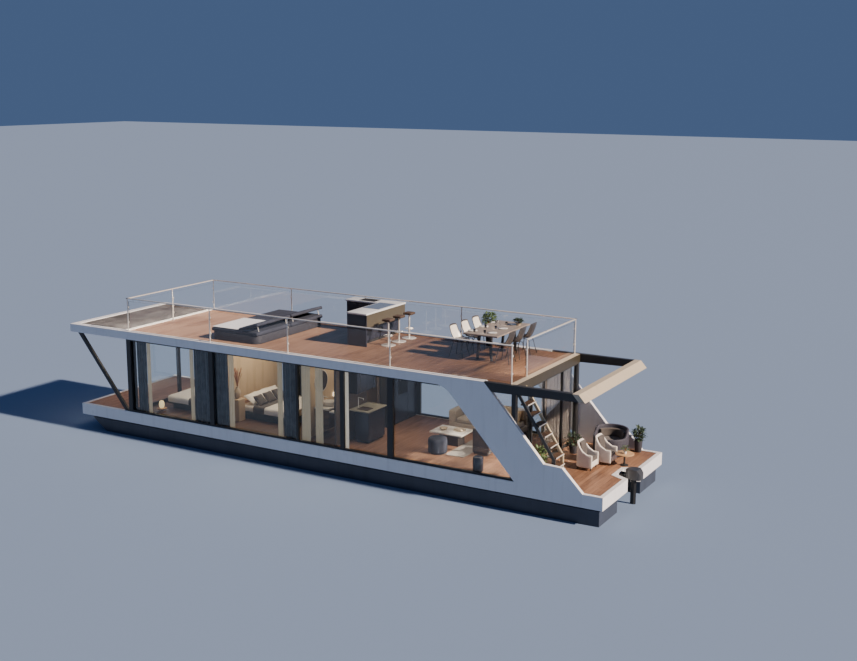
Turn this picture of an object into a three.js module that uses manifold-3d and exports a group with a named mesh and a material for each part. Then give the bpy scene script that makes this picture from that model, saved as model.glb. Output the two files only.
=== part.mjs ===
// A houseboat on two flat-bottomed pontoons. A decked platform carries a long glazed cabin under a flat
// roof terrace, slanted side legs run down to the stern, and a pergola frames the aft deck. An outboard
// motor hangs in a notch of the stern. Millimetres, +X towards the bow, +Y to port, +Z up, 0 on the floor
// under the hulls.

import * as THREE from "three";
import { mergeVertices } from "three/addons/utils/BufferGeometryUtils.js";
import Module from "manifold-3d";

const wasm = await Module();
wasm.setup();

// Driving sizes: x from the stern forwards, y from the centreline to the side, z up from the hulls' bottom
const DECK_LENGTH = 17200;
const HALF_BEAM = 2123;
const ROOF_BOW = 17530; // the roof reaches past the bow deck
const ROOF_AFT = 2400;
const MOTOR_AFT = -230; // the motor cowl reaches past the stern
const BAND_BOTTOM = 910; // the platform's white side band
const DECK_RIM = 1250;
const FLOOR = 1240; // top of the boards, just under the rim
const BOARD = 40; // thickness of the boards
const GLASS_SILL = 1300;
const ROOF_BOTTOM = 3480;
const ROOF_TOP = 3720;
const RAIL_HEIGHT = 980;
const FOOT_ON_BOARDS = -15; // roof furniture stands on boards this far below the roof's edge
const RIM = 110; // width of the platform's rim, and thickness of the side legs
const ROOF_RIM = 200;
const CLEAR = 0.3; // running gap between faces that meet
const LEG_SLOPE = 0.895; // how far the legs' aft edge leans forward for each unit of height
const LEG_AFT = 1580; // aft edge of the leg at its knee
const KNEE = 1840;
const POST = 120;
const BEAM_WIDTH = 130;
const AFT_WALL = 2440; // aft face of the wall under the roof's aft edge
const FRONT_WALL = 15110;
const WALL = 80; // thickness of the two end walls
const SIDE_FRAME = 70; // thickness of the side walls' frames
const SIDE_OUT = HALF_BEAM - 40; // outer face of the side frames
const SIDE_IN = SIDE_OUT - SIDE_FRAME;
const PANE = 12;
const INSIDE = SIDE_IN - PANE; // half of the cabin's clear width

function paint(color, roughness, metalness = 0) {
  return new THREE.MeshStandardMaterial({ color, roughness, metalness });
}

const white = paint(0xe8e9ec, 0.4);
const cream = paint(0xd9d2c0, 0.5);
const hullGrey = paint(0x8b929c, 0.5, 0.2);
const black = paint(0x202224, 0.5, 0.3);
const steel = paint(0xc8ccd0, 0.3, 0.9);
const boards = paint(0x8f5f3c, 0.6);
const slatGrey = paint(0x8c8478, 0.6);
const oak = paint(0xb98a5a, 0.5);
const glass = paint(0xbfd0d8, 0.05);
glass.transparent = true;
glass.opacity = 0.35;
const linen = paint(0xf0ede6, 0.9);
const slate = paint(0x394148, 0.9);
const plaster = paint(0xd8cbb4, 0.8);
const charcoal = paint(0x2b2d30, 0.45);
const stone = paint(0xd8d4cc, 0.4);

// A geometry as a solid that can be cut and joined
function solid(geometry) {
  const bare = geometry.index ? geometry.toNonIndexed() : geometry.clone();
  bare.deleteAttribute("normal");
  bare.deleteAttribute("uv");
  const merged = mergeVertices(bare, 1e-3);
  return new wasm.Manifold(
    new wasm.Mesh({
      numProp: 3,
      vertProperties: merged.attributes.position.array,
      triVerts: new Uint32Array(merged.index.array),
    }),
  );
}

function geometryOf(body) {
  const mesh = body.getMesh();
  return new THREE.BufferGeometry()
    .setAttribute("position", new THREE.BufferAttribute(mesh.vertProperties, 3))
    .setIndex(new THREE.BufferAttribute(mesh.triVerts, 1));
}

const join = (...bodies) => bodies.reduce((sum, body) => sum.add(body));
const cut = (body, ...tools) => tools.reduce((left, tool) => left.subtract(tool), body);

function block([x0, x1], [y0, y1], [z0, z1]) {
  const box = new THREE.BoxGeometry(x1 - x0, y1 - y0, z1 - z0);
  return solid(box.translate((x0 + x1) / 2, (y0 + y1) / 2, (z0 + z1) / 2));
}

const outline = (points) => new THREE.Shape(points.map(([a, b]) => new THREE.Vector2(a, b)));

// A shape drawn in x and z, given its thickness from y0 to y1
function upright(shape, [y0, y1]) {
  const wall = new THREE.ExtrudeGeometry(shape, { depth: y1 - y0, bevelEnabled: false, curveSegments: 6 });
  return solid(wall.rotateX(Math.PI / 2).translate(0, y1, 0));
}

// A shape drawn in x and y, given its thickness from z0 to z1
function level(shape, [z0, z1]) {
  const plate = new THREE.ExtrudeGeometry(shape, { depth: z1 - z0, bevelEnabled: false, curveSegments: 6 });
  return solid(plate.translate(0, 0, z0));
}

// A shape drawn in y and z, given its length from x0 to x1
function crossways(shape, [x0, x1]) {
  const length = new THREE.ExtrudeGeometry(shape, { depth: x1 - x0, bevelEnabled: false, curveSegments: 6 });
  return solid(length.applyMatrix4(new THREE.Matrix4().set(0, 0, 1, x0, 1, 0, 0, 0, 0, 1, 0, 0, 0, 0, 0, 1)));
}

// A round bar between two points
function rod(from, to, radius, sides = 12) {
  const a = new THREE.Vector3(...from);
  const b = new THREE.Vector3(...to);
  const bar = new THREE.CylinderGeometry(radius, radius, a.distanceTo(b), sides);
  const along = b.clone().sub(a).normalize();
  const turn = new THREE.Quaternion().setFromUnitVectors(new THREE.Vector3(0, 1, 0), along);
  return solid(bar.applyQuaternion(turn).translate((a.x + b.x) / 2, (a.y + b.y) / 2, (a.z + b.z) / 2));
}

function group(parent, x = 0, y = 0, z = 0) {
  const made = new THREE.Group();
  made.position.set(x, y, z);
  parent.add(made);
  return made;
}

function part(parent, name, body, material) {
  const mesh = new THREE.Mesh(geometryOf(body), material);
  mesh.name = name;
  parent.add(mesh);
  return mesh;
}

const houseboat = new THREE.Group();
const boat = group(houseboat, -(ROOF_BOW + MOTOR_AFT) / 2);
const SIDES = [["port", 1], ["starboard", -1]];

// Two pontoons: flat bottoms with bevelled chines, a raked bow, the stern set in under the platform, and a
// neck that leaves a shadow gap under the white band
const HULL = { outer: 2020, inner: 820, chine: 140, stern: 120, neck: 840, neckInset: 55 };
const BOW_RAKE = { start: 14900, middle: 16000, rise: 90, end: 16950 };
function makePontoons() {
  const side = new THREE.Shape();
  side.moveTo(HULL.stern, HULL.chine);
  side.lineTo(HULL.stern + 250, 0);
  side.lineTo(BOW_RAKE.start, 0);
  side.quadraticCurveTo(BOW_RAKE.middle, BOW_RAKE.rise, BOW_RAKE.end, BAND_BOTTOM);
  side.lineTo(HULL.stern, BAND_BOTTOM);
  for (const [name, sign] of SIDES) {
    const [low, high] = between(sign, HULL.inner, HULL.outer);
    const section = outline([
      [low + HULL.chine, 0],
      [high - HULL.chine, 0],
      [high, HULL.chine],
      [high, HULL.neck],
      [high - HULL.neckInset, HULL.neck],
      [high - HULL.neckInset, BAND_BOTTOM],
      [low + HULL.neckInset, BAND_BOTTOM],
      [low + HULL.neckInset, HULL.neck],
      [low, HULL.neck],
      [low, HULL.chine],
    ]);
    const hull = upright(side, [low, high]).intersect(crossways(section, [0, DECK_LENGTH]));
    part(boat, "pontoon_" + name, hull, hullGrey);
  }
}

// The platform's plan, drawn in by a margin, with the motor's notch in the stern
const NOTCH = { mouth: 450, back: 250, depth: 370 };
function deckPlan(margin) {
  const side = HALF_BEAM - margin;
  return outline([
    [margin, -side],
    [DECK_LENGTH - margin, -side],
    [DECK_LENGTH - margin, side],
    [margin, side],
    [margin, NOTCH.mouth + margin],
    [NOTCH.depth + margin, NOTCH.back + margin],
    [NOTCH.depth + margin, -NOTCH.back - margin],
    [margin, -NOTCH.mouth - margin],
  ]);
}

// White platform with a sunk field for the boards and four raised pads for mooring cleats
const PAD = { stern: 300, bow: 16500, length: 160, width: 70, rise: 4 };
function makeDeck() {
  const seat = FLOOR - BOARD;
  const recess = level(deckPlan(RIM), [seat, DECK_RIM + 10]);
  const rim = HALF_BEAM - RIM / 2;
  const pads = [PAD.stern, PAD.bow].flatMap((x) =>
    [-rim, rim].map((y) =>
      block(
        [x - PAD.length / 2, x + PAD.length / 2],
        [y - PAD.width / 2, y + PAD.width / 2],
        [DECK_RIM - 1, DECK_RIM + PAD.rise],
      ),
    ),
  );
  const platform = cut(level(deckPlan(0), [BAND_BOTTOM, DECK_RIM]), recess);
  part(boat, "deck_platform", join(platform, ...pads), white);
  part(boat, "deck_boards", level(deckPlan(RIM), [seat, FLOOR]), boards);
}

// The slanted legs: aft edge with a knee, forward edge along the last window, rounded under the roof
const legAftAt = (z) => LEG_AFT + (z - KNEE) * LEG_SLOPE;
const WINDOW_FOOT = 2416;
const WINDOW_HEAD = 4390;
const WINDOW_SLOPE = (WINDOW_HEAD - WINDOW_FOOT) / (ROOF_BOTTOM - GLASS_SILL);
const windowEdgeAt = (z) => WINDOW_FOOT + (z - GLASS_SILL) * WINDOW_SLOPE;
const LEG_TOE = { x: 530, top: [1090, KNEE - 20] }; // the low step that the leg runs out into
const CORNER = 260; // how far the rounded inner corner reaches

function legShape(grow) {
  const shape = new THREE.Shape();
  shape.moveTo(LEG_TOE.x, DECK_RIM);
  shape.lineTo(windowEdgeAt(DECK_RIM) + grow, DECK_RIM);
  shape.lineTo(windowEdgeAt(ROOF_BOTTOM - CORNER) + grow, ROOF_BOTTOM - CORNER);
  shape.quadraticCurveTo(WINDOW_HEAD + grow, ROOF_BOTTOM, WINDOW_HEAD + CORNER + grow, ROOF_BOTTOM);
  shape.lineTo(legAftAt(ROOF_BOTTOM), ROOF_BOTTOM);
  shape.lineTo(LEG_AFT, KNEE);
  shape.lineTo(...LEG_TOE.top);
  return shape;
}

function between(sign, low, high) {
  return sign > 0 ? [low, high] : [-high, -low];
}

function makeLegs() {
  for (const [name, sign] of SIDES)
    part(boat, "side_leg_" + name, upright(legShape(0), between(sign, HALF_BEAM - RIM, HALF_BEAM)), white);
}

// Roof: white edge beams down both sides and across the bow, a slab between them with a white bar at the fore
// end of the boards, and an opening at the bow for the louvres
const LOUVRE = { aft: 15450, bow: ROOF_BOW - ROOF_RIM };
const ROOF_DECK_BOW = 15300;
const ROOF_DECK_AFT = 2580; // the boards end at a raised border along the aft edge
const ROOF_DECK_HALF = HALF_BEAM - ROOF_RIM;
const BEAM_IN = HALF_BEAM - BEAM_WIDTH;
const SLAB_TOP = ROOF_TOP - BOARD;
function makeRoof() {
  const edge = outline([
    [legAftAt(ROOF_BOTTOM), ROOF_BOTTOM],
    [ROOF_BOW, ROOF_BOTTOM],
    [ROOF_BOW, ROOF_TOP],
    [legAftAt(ROOF_TOP), ROOF_TOP],
  ]);
  for (const [name, sign] of SIDES)
    part(boat, "roof_edge_" + name, upright(edge, between(sign, ROOF_DECK_HALF, HALF_BEAM)), white);
  const width = [-ROOF_DECK_HALF, ROOF_DECK_HALF];
  part(boat, "roof_edge_bow", block([LOUVRE.bow, ROOF_BOW], width, [ROOF_BOTTOM, ROOF_TOP]), white);
  const aftEnd = outline([
    [ROOF_AFT, ROOF_BOTTOM],
    [legAftAt(ROOF_BOTTOM) - CLEAR, ROOF_BOTTOM],
    [legAftAt(SLAB_TOP) - CLEAR, SLAB_TOP],
    [ROOF_DECK_AFT, SLAB_TOP],
    [ROOF_DECK_AFT, ROOF_TOP],
    [ROOF_AFT, ROOF_TOP],
  ]);
  const slab = join(
    block([ROOF_AFT, LOUVRE.aft], width, [ROOF_BOTTOM, SLAB_TOP]),
    block([ROOF_DECK_BOW, LOUVRE.aft], width, [SLAB_TOP - 1, ROOF_TOP]),
    upright(aftEnd, [-BEAM_IN, BEAM_IN]),
  );
  part(boat, "roof_slab", slab, white);
  part(boat, "bow_louvres", louvres(), slatGrey);
}

// Slats across the bow opening, carried by two bearers
const SLAT = { count: 18, half: 32, top: ROOF_TOP - 15, thick: 35, bearer: 40 };
function louvres() {
  const pitch = (LOUVRE.bow - LOUVRE.aft) / SLAT.count;
  const under = SLAT.top - SLAT.thick;
  const bearer = [under - SLAT.bearer, under];
  const bars = [-1, 1].map((sign) =>
    block([LOUVRE.aft, LOUVRE.bow], between(sign, ROOF_DECK_HALF - 60, ROOF_DECK_HALF), bearer),
  );
  const slats = [];
  for (let i = 0; i < SLAT.count; i++) {
    const x = LOUVRE.aft + (i + 0.5) * pitch;
    const width = [-ROOF_DECK_HALF, ROOF_DECK_HALF];
    slats.push(block([x - SLAT.half, x + SLAT.half], width, [under - 0.5, SLAT.top]));
  }
  return join(...bars, ...slats);
}

// Pergola over the aft deck: black beams carry on the roof's sides, and a pale beam closes them at the stern
const END_BEAM = { fore: 870, width: 170, bottom: 3530 };
function makePergola() {
  const lean = (ROOF_TOP - END_BEAM.bottom) * LEG_SLOPE;
  const beam = outline([
    [END_BEAM.fore - lean + CLEAR, END_BEAM.bottom],
    [legAftAt(ROOF_BOTTOM) - CLEAR, ROOF_BOTTOM],
    [legAftAt(ROOF_TOP) - CLEAR, ROOF_TOP],
    [END_BEAM.fore + CLEAR, ROOF_TOP],
  ]);
  for (const [name, sign] of SIDES)
    part(boat, "pergola_beam_" + name, upright(beam, between(sign, BEAM_IN, HALF_BEAM)), black);
  const across = outline([
    [END_BEAM.fore - lean - END_BEAM.width, END_BEAM.bottom],
    [END_BEAM.fore - lean, END_BEAM.bottom],
    [END_BEAM.fore, ROOF_TOP],
    [END_BEAM.fore - END_BEAM.width, ROOF_TOP],
  ]);
  part(boat, "pergola_end_beam", upright(across, [-HALF_BEAM, HALF_BEAM]), cream);
}

// Bow struts from the deck at the front wall's feet up to the roof's bow corners
function makeStruts() {
  const strut = outline([[15300, DECK_RIM], [15450, DECK_RIM], [17260, ROOF_BOTTOM], [17110, ROOF_BOTTOM]]);
  for (const [name, sign] of SIDES)
    part(boat, "bow_strut_" + name, upright(strut, between(sign, SIDE_IN, SIDE_OUT)), black);
}

// Window frames of the two long sides. A bay runs from one mullion to the next, and the last one from the
// slanted leg; two bays of the starboard side are closed panels.
const BAYS = [
  // aft edge, fore edge, sill on the port side, sill on the starboard side (null: closed panel)
  { aft: 12145, fore: 15140, port: GLASS_SILL, starboard: GLASS_SILL },
  { aft: 9085, fore: 11995, port: GLASS_SILL, starboard: null },
  { aft: 7620, fore: 9015, port: GLASS_SILL, starboard: null },
  { aft: 6125, fore: 7490, port: GLASS_SILL, starboard: GLASS_SILL },
  { aft: null, fore: 5950, port: GLASS_SILL, starboard: GLASS_SILL },
];
const HEAD = ROOF_BOTTOM - 40;
const FRAME_BOW = 15290;
const BEHIND_LEG = 60; // the last pane runs on behind the leg by this much
const WIDE = [-HALF_BEAM - 80, HALF_BEAM + 80];

function makeSides() {
  for (const [name, sign] of SIDES) {
    const holes = BAYS.filter((bay) => bay[name] !== null).map((bay) => {
      const sill = bay[name];
      const foot = bay.aft ?? windowEdgeAt(sill);
      const head = bay.aft ?? windowEdgeAt(HEAD);
      return upright(outline([[foot, sill], [bay.fore, sill], [bay.fore, HEAD], [head, HEAD]]), WIDE);
    });
    const whole = outline([
      [windowEdgeAt(DECK_RIM), DECK_RIM],
      [FRAME_BOW, DECK_RIM],
      [FRAME_BOW, ROOF_BOTTOM],
      [WINDOW_HEAD, ROOF_BOTTOM],
    ]);
    const leg = upright(legShape(CLEAR), WIDE);
    const frame = cut(upright(whole, between(sign, SIDE_IN, SIDE_OUT)), leg, ...holes);
    part(boat, "window_frame_" + name, frame, black);
    const sheet = outline([
      [windowEdgeAt(GLASS_SILL - 20) - BEHIND_LEG, GLASS_SILL - 20],
      [FRAME_BOW - 50, GLASS_SILL - 20],
      [FRAME_BOW - 50, HEAD + 20],
      [windowEdgeAt(HEAD + 20) - BEHIND_LEG, HEAD + 20],
    ]);
    part(boat, "window_glass_" + name, upright(sheet, between(sign, INSIDE, SIDE_IN)), glass);
  }
}

// End walls: glazed frames with a sliding door each. The door runs on the inner track of sill and head.
const DOOR = { thick: 48, stile: 60, bottomRail: 90, gap: 6, paneAt: 18 };
const TRACK = DOOR.thick + 2 * DOOR.gap;
const SILL_TOP = FLOOR + 22;
const PANE_AT = (WALL - PANE) / 2; // the fixed panes stand in the middle of their frames

function leaf(x0, [y0, y1]) {
  const light = [[y0 + DOOR.stile, y1 - DOOR.stile], [SILL_TOP + DOOR.bottomRail, HEAD - DOOR.stile]];
  const whole = block([x0, x0 + DOOR.thick], [y0, y1], [SILL_TOP + CLEAR, HEAD - CLEAR]);
  return {
    ring: cut(whole, block([x0 - 10, x0 + DOOR.thick + 10], ...light)),
    pane: block([x0 + DOOR.paneAt, x0 + DOOR.paneAt + PANE], ...light),
  };
}

function makeAftWall() {
  const half = INSIDE - POST;
  const mullions = [[-half, -half + 30], [-1000, -940], [940, 1000], [half - 30, half]];
  const x = [AFT_WALL, AFT_WALL + WALL];
  const tracks = [AFT_WALL, AFT_WALL + WALL + TRACK];
  const paneX = [AFT_WALL + PANE_AT, AFT_WALL + PANE_AT + PANE];
  const posts = [-1, 1].map((sign) =>
    block([AFT_WALL - 20, AFT_WALL - 20 + POST], between(sign, half, half + POST), [FLOOR, ROOF_BOTTOM]),
  );
  const frame = join(
    block(tracks, [-half - 1, half + 1], [FLOOR, SILL_TOP]),
    block(tracks, [-half - 1, half + 1], [HEAD, ROOF_BOTTOM]),
    ...mullions.map((y) => block(x, y, [FLOOR, ROOF_BOTTOM])),
    ...posts,
  );
  // the starboard pane runs on through a slot in its mullion
  const slot = block([paneX[0] - CLEAR, paneX[1] + CLEAR], [-1001, -939], [SILL_TOP, HEAD]);
  part(boat, "aft_wall_frame", cut(frame, slot), black);
  for (const [name, y] of [["port", [1000, half - 30]], ["starboard", [-half + 30, 10]]])
    part(boat, "aft_window_" + name, block(paneX, y, [SILL_TOP, HEAD]), glass);
  const door = leaf(AFT_WALL + WALL + DOOR.gap, [-10, 990]);
  part(boat, "aft_door", door.ring, black);
  part(boat, "aft_door_glass", door.pane, glass);
}

function makeFrontWall() {
  const half = INSIDE;
  const x = [FRONT_WALL, FRONT_WALL + WALL];
  const tracks = [FRONT_WALL - TRACK, FRONT_WALL + WALL];
  const mullions = [[-half, -half + 60], [-30, 30], [half - 60, half]];
  const paneX = [FRONT_WALL + PANE_AT, FRONT_WALL + PANE_AT + PANE];
  const frame = join(
    block(tracks, [-half, half], [FLOOR, SILL_TOP]),
    block(tracks, [-half, half], [HEAD, ROOF_BOTTOM]),
    ...mullions.map((y) => block(x, y, [FLOOR, ROOF_BOTTOM])),
  );
  part(boat, "front_wall_frame", frame, black);
  part(boat, "front_window", block(paneX, [-half + 60, -30], [SILL_TOP, HEAD]), glass);
  const door = leaf(FRONT_WALL - DOOR.gap - DOOR.thick, [-30, half - 20]);
  part(boat, "front_door", door.ring, black);
  part(boat, "front_door_glass", door.pane, glass);
}

// Partitions between the rooms, each with a doorway
const PARTITIONS = [
  { name: "partition_bow", x: 12070, starboard: -1960, port: -1280 },
  { name: "partition_middle", x: 9010, starboard: -700, port: 80 },
  { name: "partition_galley", x: 7930, starboard: -340, port: 300 },
];
const PARTITION = 60;
const DOORWAY_TOP = 3280;
const CURTAIN_ROOM = 150; // room left for the curtains between a partition and the port window
function makePartitions() {
  const end = INSIDE - CURTAIN_ROOM;
  for (const { name, x, starboard, port } of PARTITIONS) {
    const wall = outline([
      [-INSIDE, FLOOR],
      [starboard, FLOOR],
      [starboard, DOORWAY_TOP],
      [port, DOORWAY_TOP],
      [port, FLOOR],
      [end, FLOOR],
      [end, ROOF_BOTTOM],
      [-INSIDE, ROOF_BOTTOM],
    ]);
    const panel = crossways(wall, [x - PARTITION / 2, x + PARTITION / 2]);
    part(boat, name, name === VANITY.on ? join(panel, vanity(x)) : panel, plaster);
  }
}

// Washstand hung on its partition: a cabinet under a wider top
const VANITY = { on: "partition_middle", depth: 500, port: 1350, starboard: 650, edge: 20, foot: 250 };
function vanity(x) {
  const { depth, port, starboard, edge, foot } = VANITY;
  return join(
    block([x - depth, x], [starboard + edge, port - edge], [FLOOR + foot, FLOOR + 800]),
    block([x - depth - edge, x], [starboard, port], [FLOOR + 799, FLOOR + 850]),
  );
}

// Furniture of joined blocks: [[aft, fore], [starboard, port], [foot, top]], over the floor that it stands on
const joined = (rows) => join(...rows.map(([x, y, z]) => block(x, y, z)));

// Cabin furniture stands on the boards: a sunk plinth under each bed, a mattress and a headboard
const CABIN = {
  bed_bow: [
    [[12260, 14430], [-600, 1120], [0, 161]],
    [[12200, 14550], [-650, 1200], [160, 380]],
    [[12101, 12201], [-650, 1150], [0, 1000]],
  ],
  bed_middle: [
    [[10120, 11880], [-560, 900], [0, 151]],
    [[10000, 11941], [-650, 1000], [150, 420]],
    [[11940, 12039], [-700, 1050], [0, 480]],
  ],
  galley_island: [
    [[7230, 7700], [400, 1250], [0, 890]],
    [[7200, 7850], [350, 1300], [889, 920]],
  ],
  sofa: [
    [[3900, 6000], [-1950, -1050], [0, 420]],
    [[3900, 6000], [-1950, -1700], [419, 780]],
    [[5750, 6000], [-1950, -1050], [419, 620]],
  ],
  coffee_table: [
    [[4800, 5800], [-350, 400], [340, 380]],
    [[5000, 5600], [-160, 210], [0, 341]],
  ],
  armchair: [
    [[3870, 4370], [80, 580], [0, 340]],
    [[3870, 4370], [460, 580], [339, 730]],
  ],
};
const CABIN_PAINT = {
  bed_bow: linen,
  bed_middle: linen,
  galley_island: charcoal,
  sofa: linen,
  coffee_table: stone,
  armchair: slate,
};
const POUF = { x: 5240, y: 920, radius: 265, height: 430 };
function makeCabinFurniture() {
  const room = group(boat, 0, 0, FLOOR);
  for (const [name, rows] of Object.entries(CABIN)) part(room, name, joined(rows), CABIN_PAINT[name]);
  part(room, "pouf", rod([POUF.x, POUF.y, 0], [POUF.x, POUF.y, POUF.height], POUF.radius, 20), slate);
  // a tall unit and wall cabinets, joined over the doorway
  const face = outline([
    [-1980, 0],
    [-380, 0],
    [-380, 2045],
    [300, 2045],
    [300, 1370],
    [1240, 1370],
    [1240, 2170],
    [-1980, 2170],
  ]);
  part(room, "galley_units", crossways(face, [7600, 7899]), charcoal);
}

// Curtains hang from ceiling tracks: gathered ones beside the port mullions, a drawn one behind the aft wall
const CURTAIN_LOW = FLOOR + 15;
const CURTAIN_HIGH = ROOF_BOTTOM - 25;
const TRACK_BAR = [ROOF_BOTTOM - 30, ROOF_BOTTOM];
const GATHERED = [[9120, 9640], [11560, 12840], [14560, 15030]];
const DRAWN = { aft: 2600, starboard: -1960, port: -60 };
function makeCurtains() {
  const track = [INSIDE - 120, INSIDE - 90];
  const cloth = [INSIDE - 145, INSIDE - 45];
  const pieces = GATHERED.map((x) => block(x, cloth, [CURTAIN_LOW, CURTAIN_HIGH]));
  part(boat, "curtains_port", join(block([9100, 15040], track, TRACK_BAR), ...pieces), slate);
  const width = [DRAWN.starboard, DRAWN.port];
  const drawn = join(
    block([DRAWN.aft + 30, DRAWN.aft + 60], width, TRACK_BAR),
    block([DRAWN.aft, DRAWN.aft + 90], width, [CURTAIN_LOW, CURTAIN_HIGH]),
  );
  part(boat, "curtain_aft", drawn, linen);
}

// Ship's stair from the aft deck to the roof: two strings hung on the roof's aft face, upright at the foot
const STAIR = { foot: 1340, legWidth: 90, bend: 700, slope: 1.56, depth: 75, risers: 10 };
const STRINGS = [[1420, 1460], [1920, 1960]];
function makeStair() {
  const middle = STAIR.foot + 54;
  const lineAt = (x) => FLOOR + STAIR.bend + (x - middle) * STAIR.slope;
  const head = ROOF_AFT - CLEAR;
  const string = outline([
    [STAIR.foot, FLOOR],
    [STAIR.foot + STAIR.legWidth, FLOOR],
    [STAIR.foot + STAIR.legWidth, lineAt(STAIR.foot + STAIR.legWidth) - STAIR.depth],
    [head, lineAt(head) - STAIR.depth],
    [head, lineAt(head) + STAIR.depth],
    [STAIR.foot, lineAt(STAIR.foot) + STAIR.depth],
  ]);
  const rise = (ROOF_TOP - FLOOR) / STAIR.risers;
  const treads = [];
  for (let i = 1; i < STAIR.risers; i++) {
    const z = FLOOR + i * rise;
    const x = Math.max(middle, middle + (z - FLOOR - STAIR.bend) / STAIR.slope);
    treads.push(block([x - 100, Math.min(x + 110, head)], [1459, 1921], [z - 40, z]));
  }
  part(boat, "stair", join(...STRINGS.map((y) => upright(string, y)), ...treads), cream);
}

// Roof rail: posts, a top rail all round but for the stair's gap, and clear panels inside the posts
const RAIL = { side: 1970, bow: 15270, aft: 2560, stair: 1100, tube: 20, half: 30, thick: 25 };
const RAIL_STATIONS = [6100, 9400, 12140];
const RAIL_PANE = [30, 880];
function makeRail() {
  const terrace = group(boat, 0, 0, ROOF_TOP);
  const under = RAIL_HEIGHT - RAIL.thick;
  const span = (a, b) => [Math.min(a, b) - RAIL.half, Math.max(a, b) + RAIL.half];
  const corners = [
    [RAIL.aft, RAIL.stair],
    [RAIL.aft, -RAIL.side],
    [RAIL.bow, -RAIL.side],
    [RAIL.bow, RAIL.side],
    [RAIL.aft, RAIL.side],
  ];
  const runs = corners
    .slice(1)
    .map(([x, y], i) => block(span(corners[i][0], x), span(corners[i][1], y), [under, RAIL_HEIGHT]));
  const feet = [
    [RAIL.aft, RAIL.stair, 0],
    [RAIL.bow, 0, FOOT_ON_BOARDS],
    ...[-RAIL.side, RAIL.side].flatMap((y) =>
      [RAIL.aft, ...RAIL_STATIONS, RAIL.bow].map((x) => [x, y, 0]),
    ),
  ];
  const posts = feet.map(([x, y, z]) => rod([x, y, z], [x, y, under + 1], RAIL.tube, 8));
  part(terrace, "roof_rail", join(...runs, ...posts), steel);
  const inner = RAIL.side - RAIL.tube - CLEAR;
  const bow = RAIL.bow - RAIL.tube - CLEAR;
  const aft = RAIL.aft + RAIL.tube + CLEAR;
  const band = outline([
    [aft, inner],
    [aft, inner - PANE],
    [bow - PANE, inner - PANE],
    [bow - PANE, -inner + PANE],
    [aft + PANE, -inner + PANE],
    [aft + PANE, RAIL.stair],
    [aft, RAIL.stair],
    [aft, -inner],
    [bow, -inner],
    [bow, inner],
  ]);
  part(terrace, "rail_glass", level(band, RAIL_PANE), glass);
}

// Dining chair: four legs, a seat and a leaning back, open towards where it faces
const CHAIR = { half: 240, seat: 460, back: 440, leg: 14, lean: 60, shell: 45 };
function chair([x, y, facing]) {
  const { half, seat, leg } = CHAIR;
  const stand = half - 50;
  const legs = [[-1, -1], [-1, 1], [1, -1], [1, 1]].map(([a, b]) => {
    const foot = [x + a * (stand + 20), y + b * (stand + 20), FOOT_ON_BOARDS - 1];
    return rod(foot, [x + a * stand, y + b * stand, seat - 30], leg, 6);
  });
  const pad = block([x - half, x + half], [y - half, y + half], [seat - 45, seat]);
  const back = outline([
    [x - facing * half, seat - 1],
    [x - facing * (half - CHAIR.shell), seat - 1],
    [x - facing * (half - CHAIR.shell + CHAIR.lean), seat + CHAIR.back],
    [x - facing * (half + CHAIR.lean), seat + CHAIR.back],
  ]);
  return join(pad, upright(back, [y - half + 20, y + half - 20]), ...legs);
}

// Bar stool: a round foot, a post and a thick seat
const STOOL = { foot: 210, footThick: 15, post: 25, seat: 140, top: 760, seatThick: 80 };
function stool([x, y]) {
  const under = STOOL.top - STOOL.seatThick;
  return join(
    rod([x, y, FOOT_ON_BOARDS - 1], [x, y, FOOT_ON_BOARDS + STOOL.footThick], STOOL.foot, 20),
    rod([x, y, FOOT_ON_BOARDS], [x, y, under + 1], STOOL.post, 8),
    block([x - STOOL.seat, x + STOOL.seat], [y - STOOL.seat, y + STOOL.seat], [under, STOOL.top]),
  );
}

const CHAIRS = [
  // x, y, +1 faces the bow and -1 the stern
  [5140, -80, -1], [5140, -730, -1], [5140, -1380, -1],
  [3750, -80, 1], [3750, -730, 1], [3750, -1380, 1],
];
const STOOLS = [[7550, -300], [7550, -880], [7550, -1450]];
const TERRACE = {
  dining_table: [
    [[3830, 4860], [-1780, 260], [700, 740]],
    [[4100, 4590], [-1540, -1460], [FOOT_ON_BOARDS, 701]],
    [[4100, 4590], [-60, 20], [FOOT_ON_BOARDS, 701]],
  ],
  // an L of worktop: cabinet, end panel and apron under the near arm, cabinet under the long arm
  bar: [
    [[7930, 8600], [-1900, 250], [890, 940]],
    [[8599, 9740], [-1900, -1400], [890, 940]],
    [[8160, 8580], [-1100, 230], [FOOT_ON_BOARDS, 891]],
    [[7950, 8161], [195, 230], [FOOT_ON_BOARDS, 891]],
    [[7950, 7980], [-1880, 230], [520, 891]],
    [[8600, 9720], [-1880, -1420], [FOOT_ON_BOARDS, 891]],
  ],
};
const SUNBED = { aft: 10700, fore: 12450, starboard: -1700, port: 1620, middle: -40 };
const SUNBED_FORM = { corner: 220, margin: 60, gap: 40, base: 230, top: 350, backLength: 700, backTop: 600 };
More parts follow.
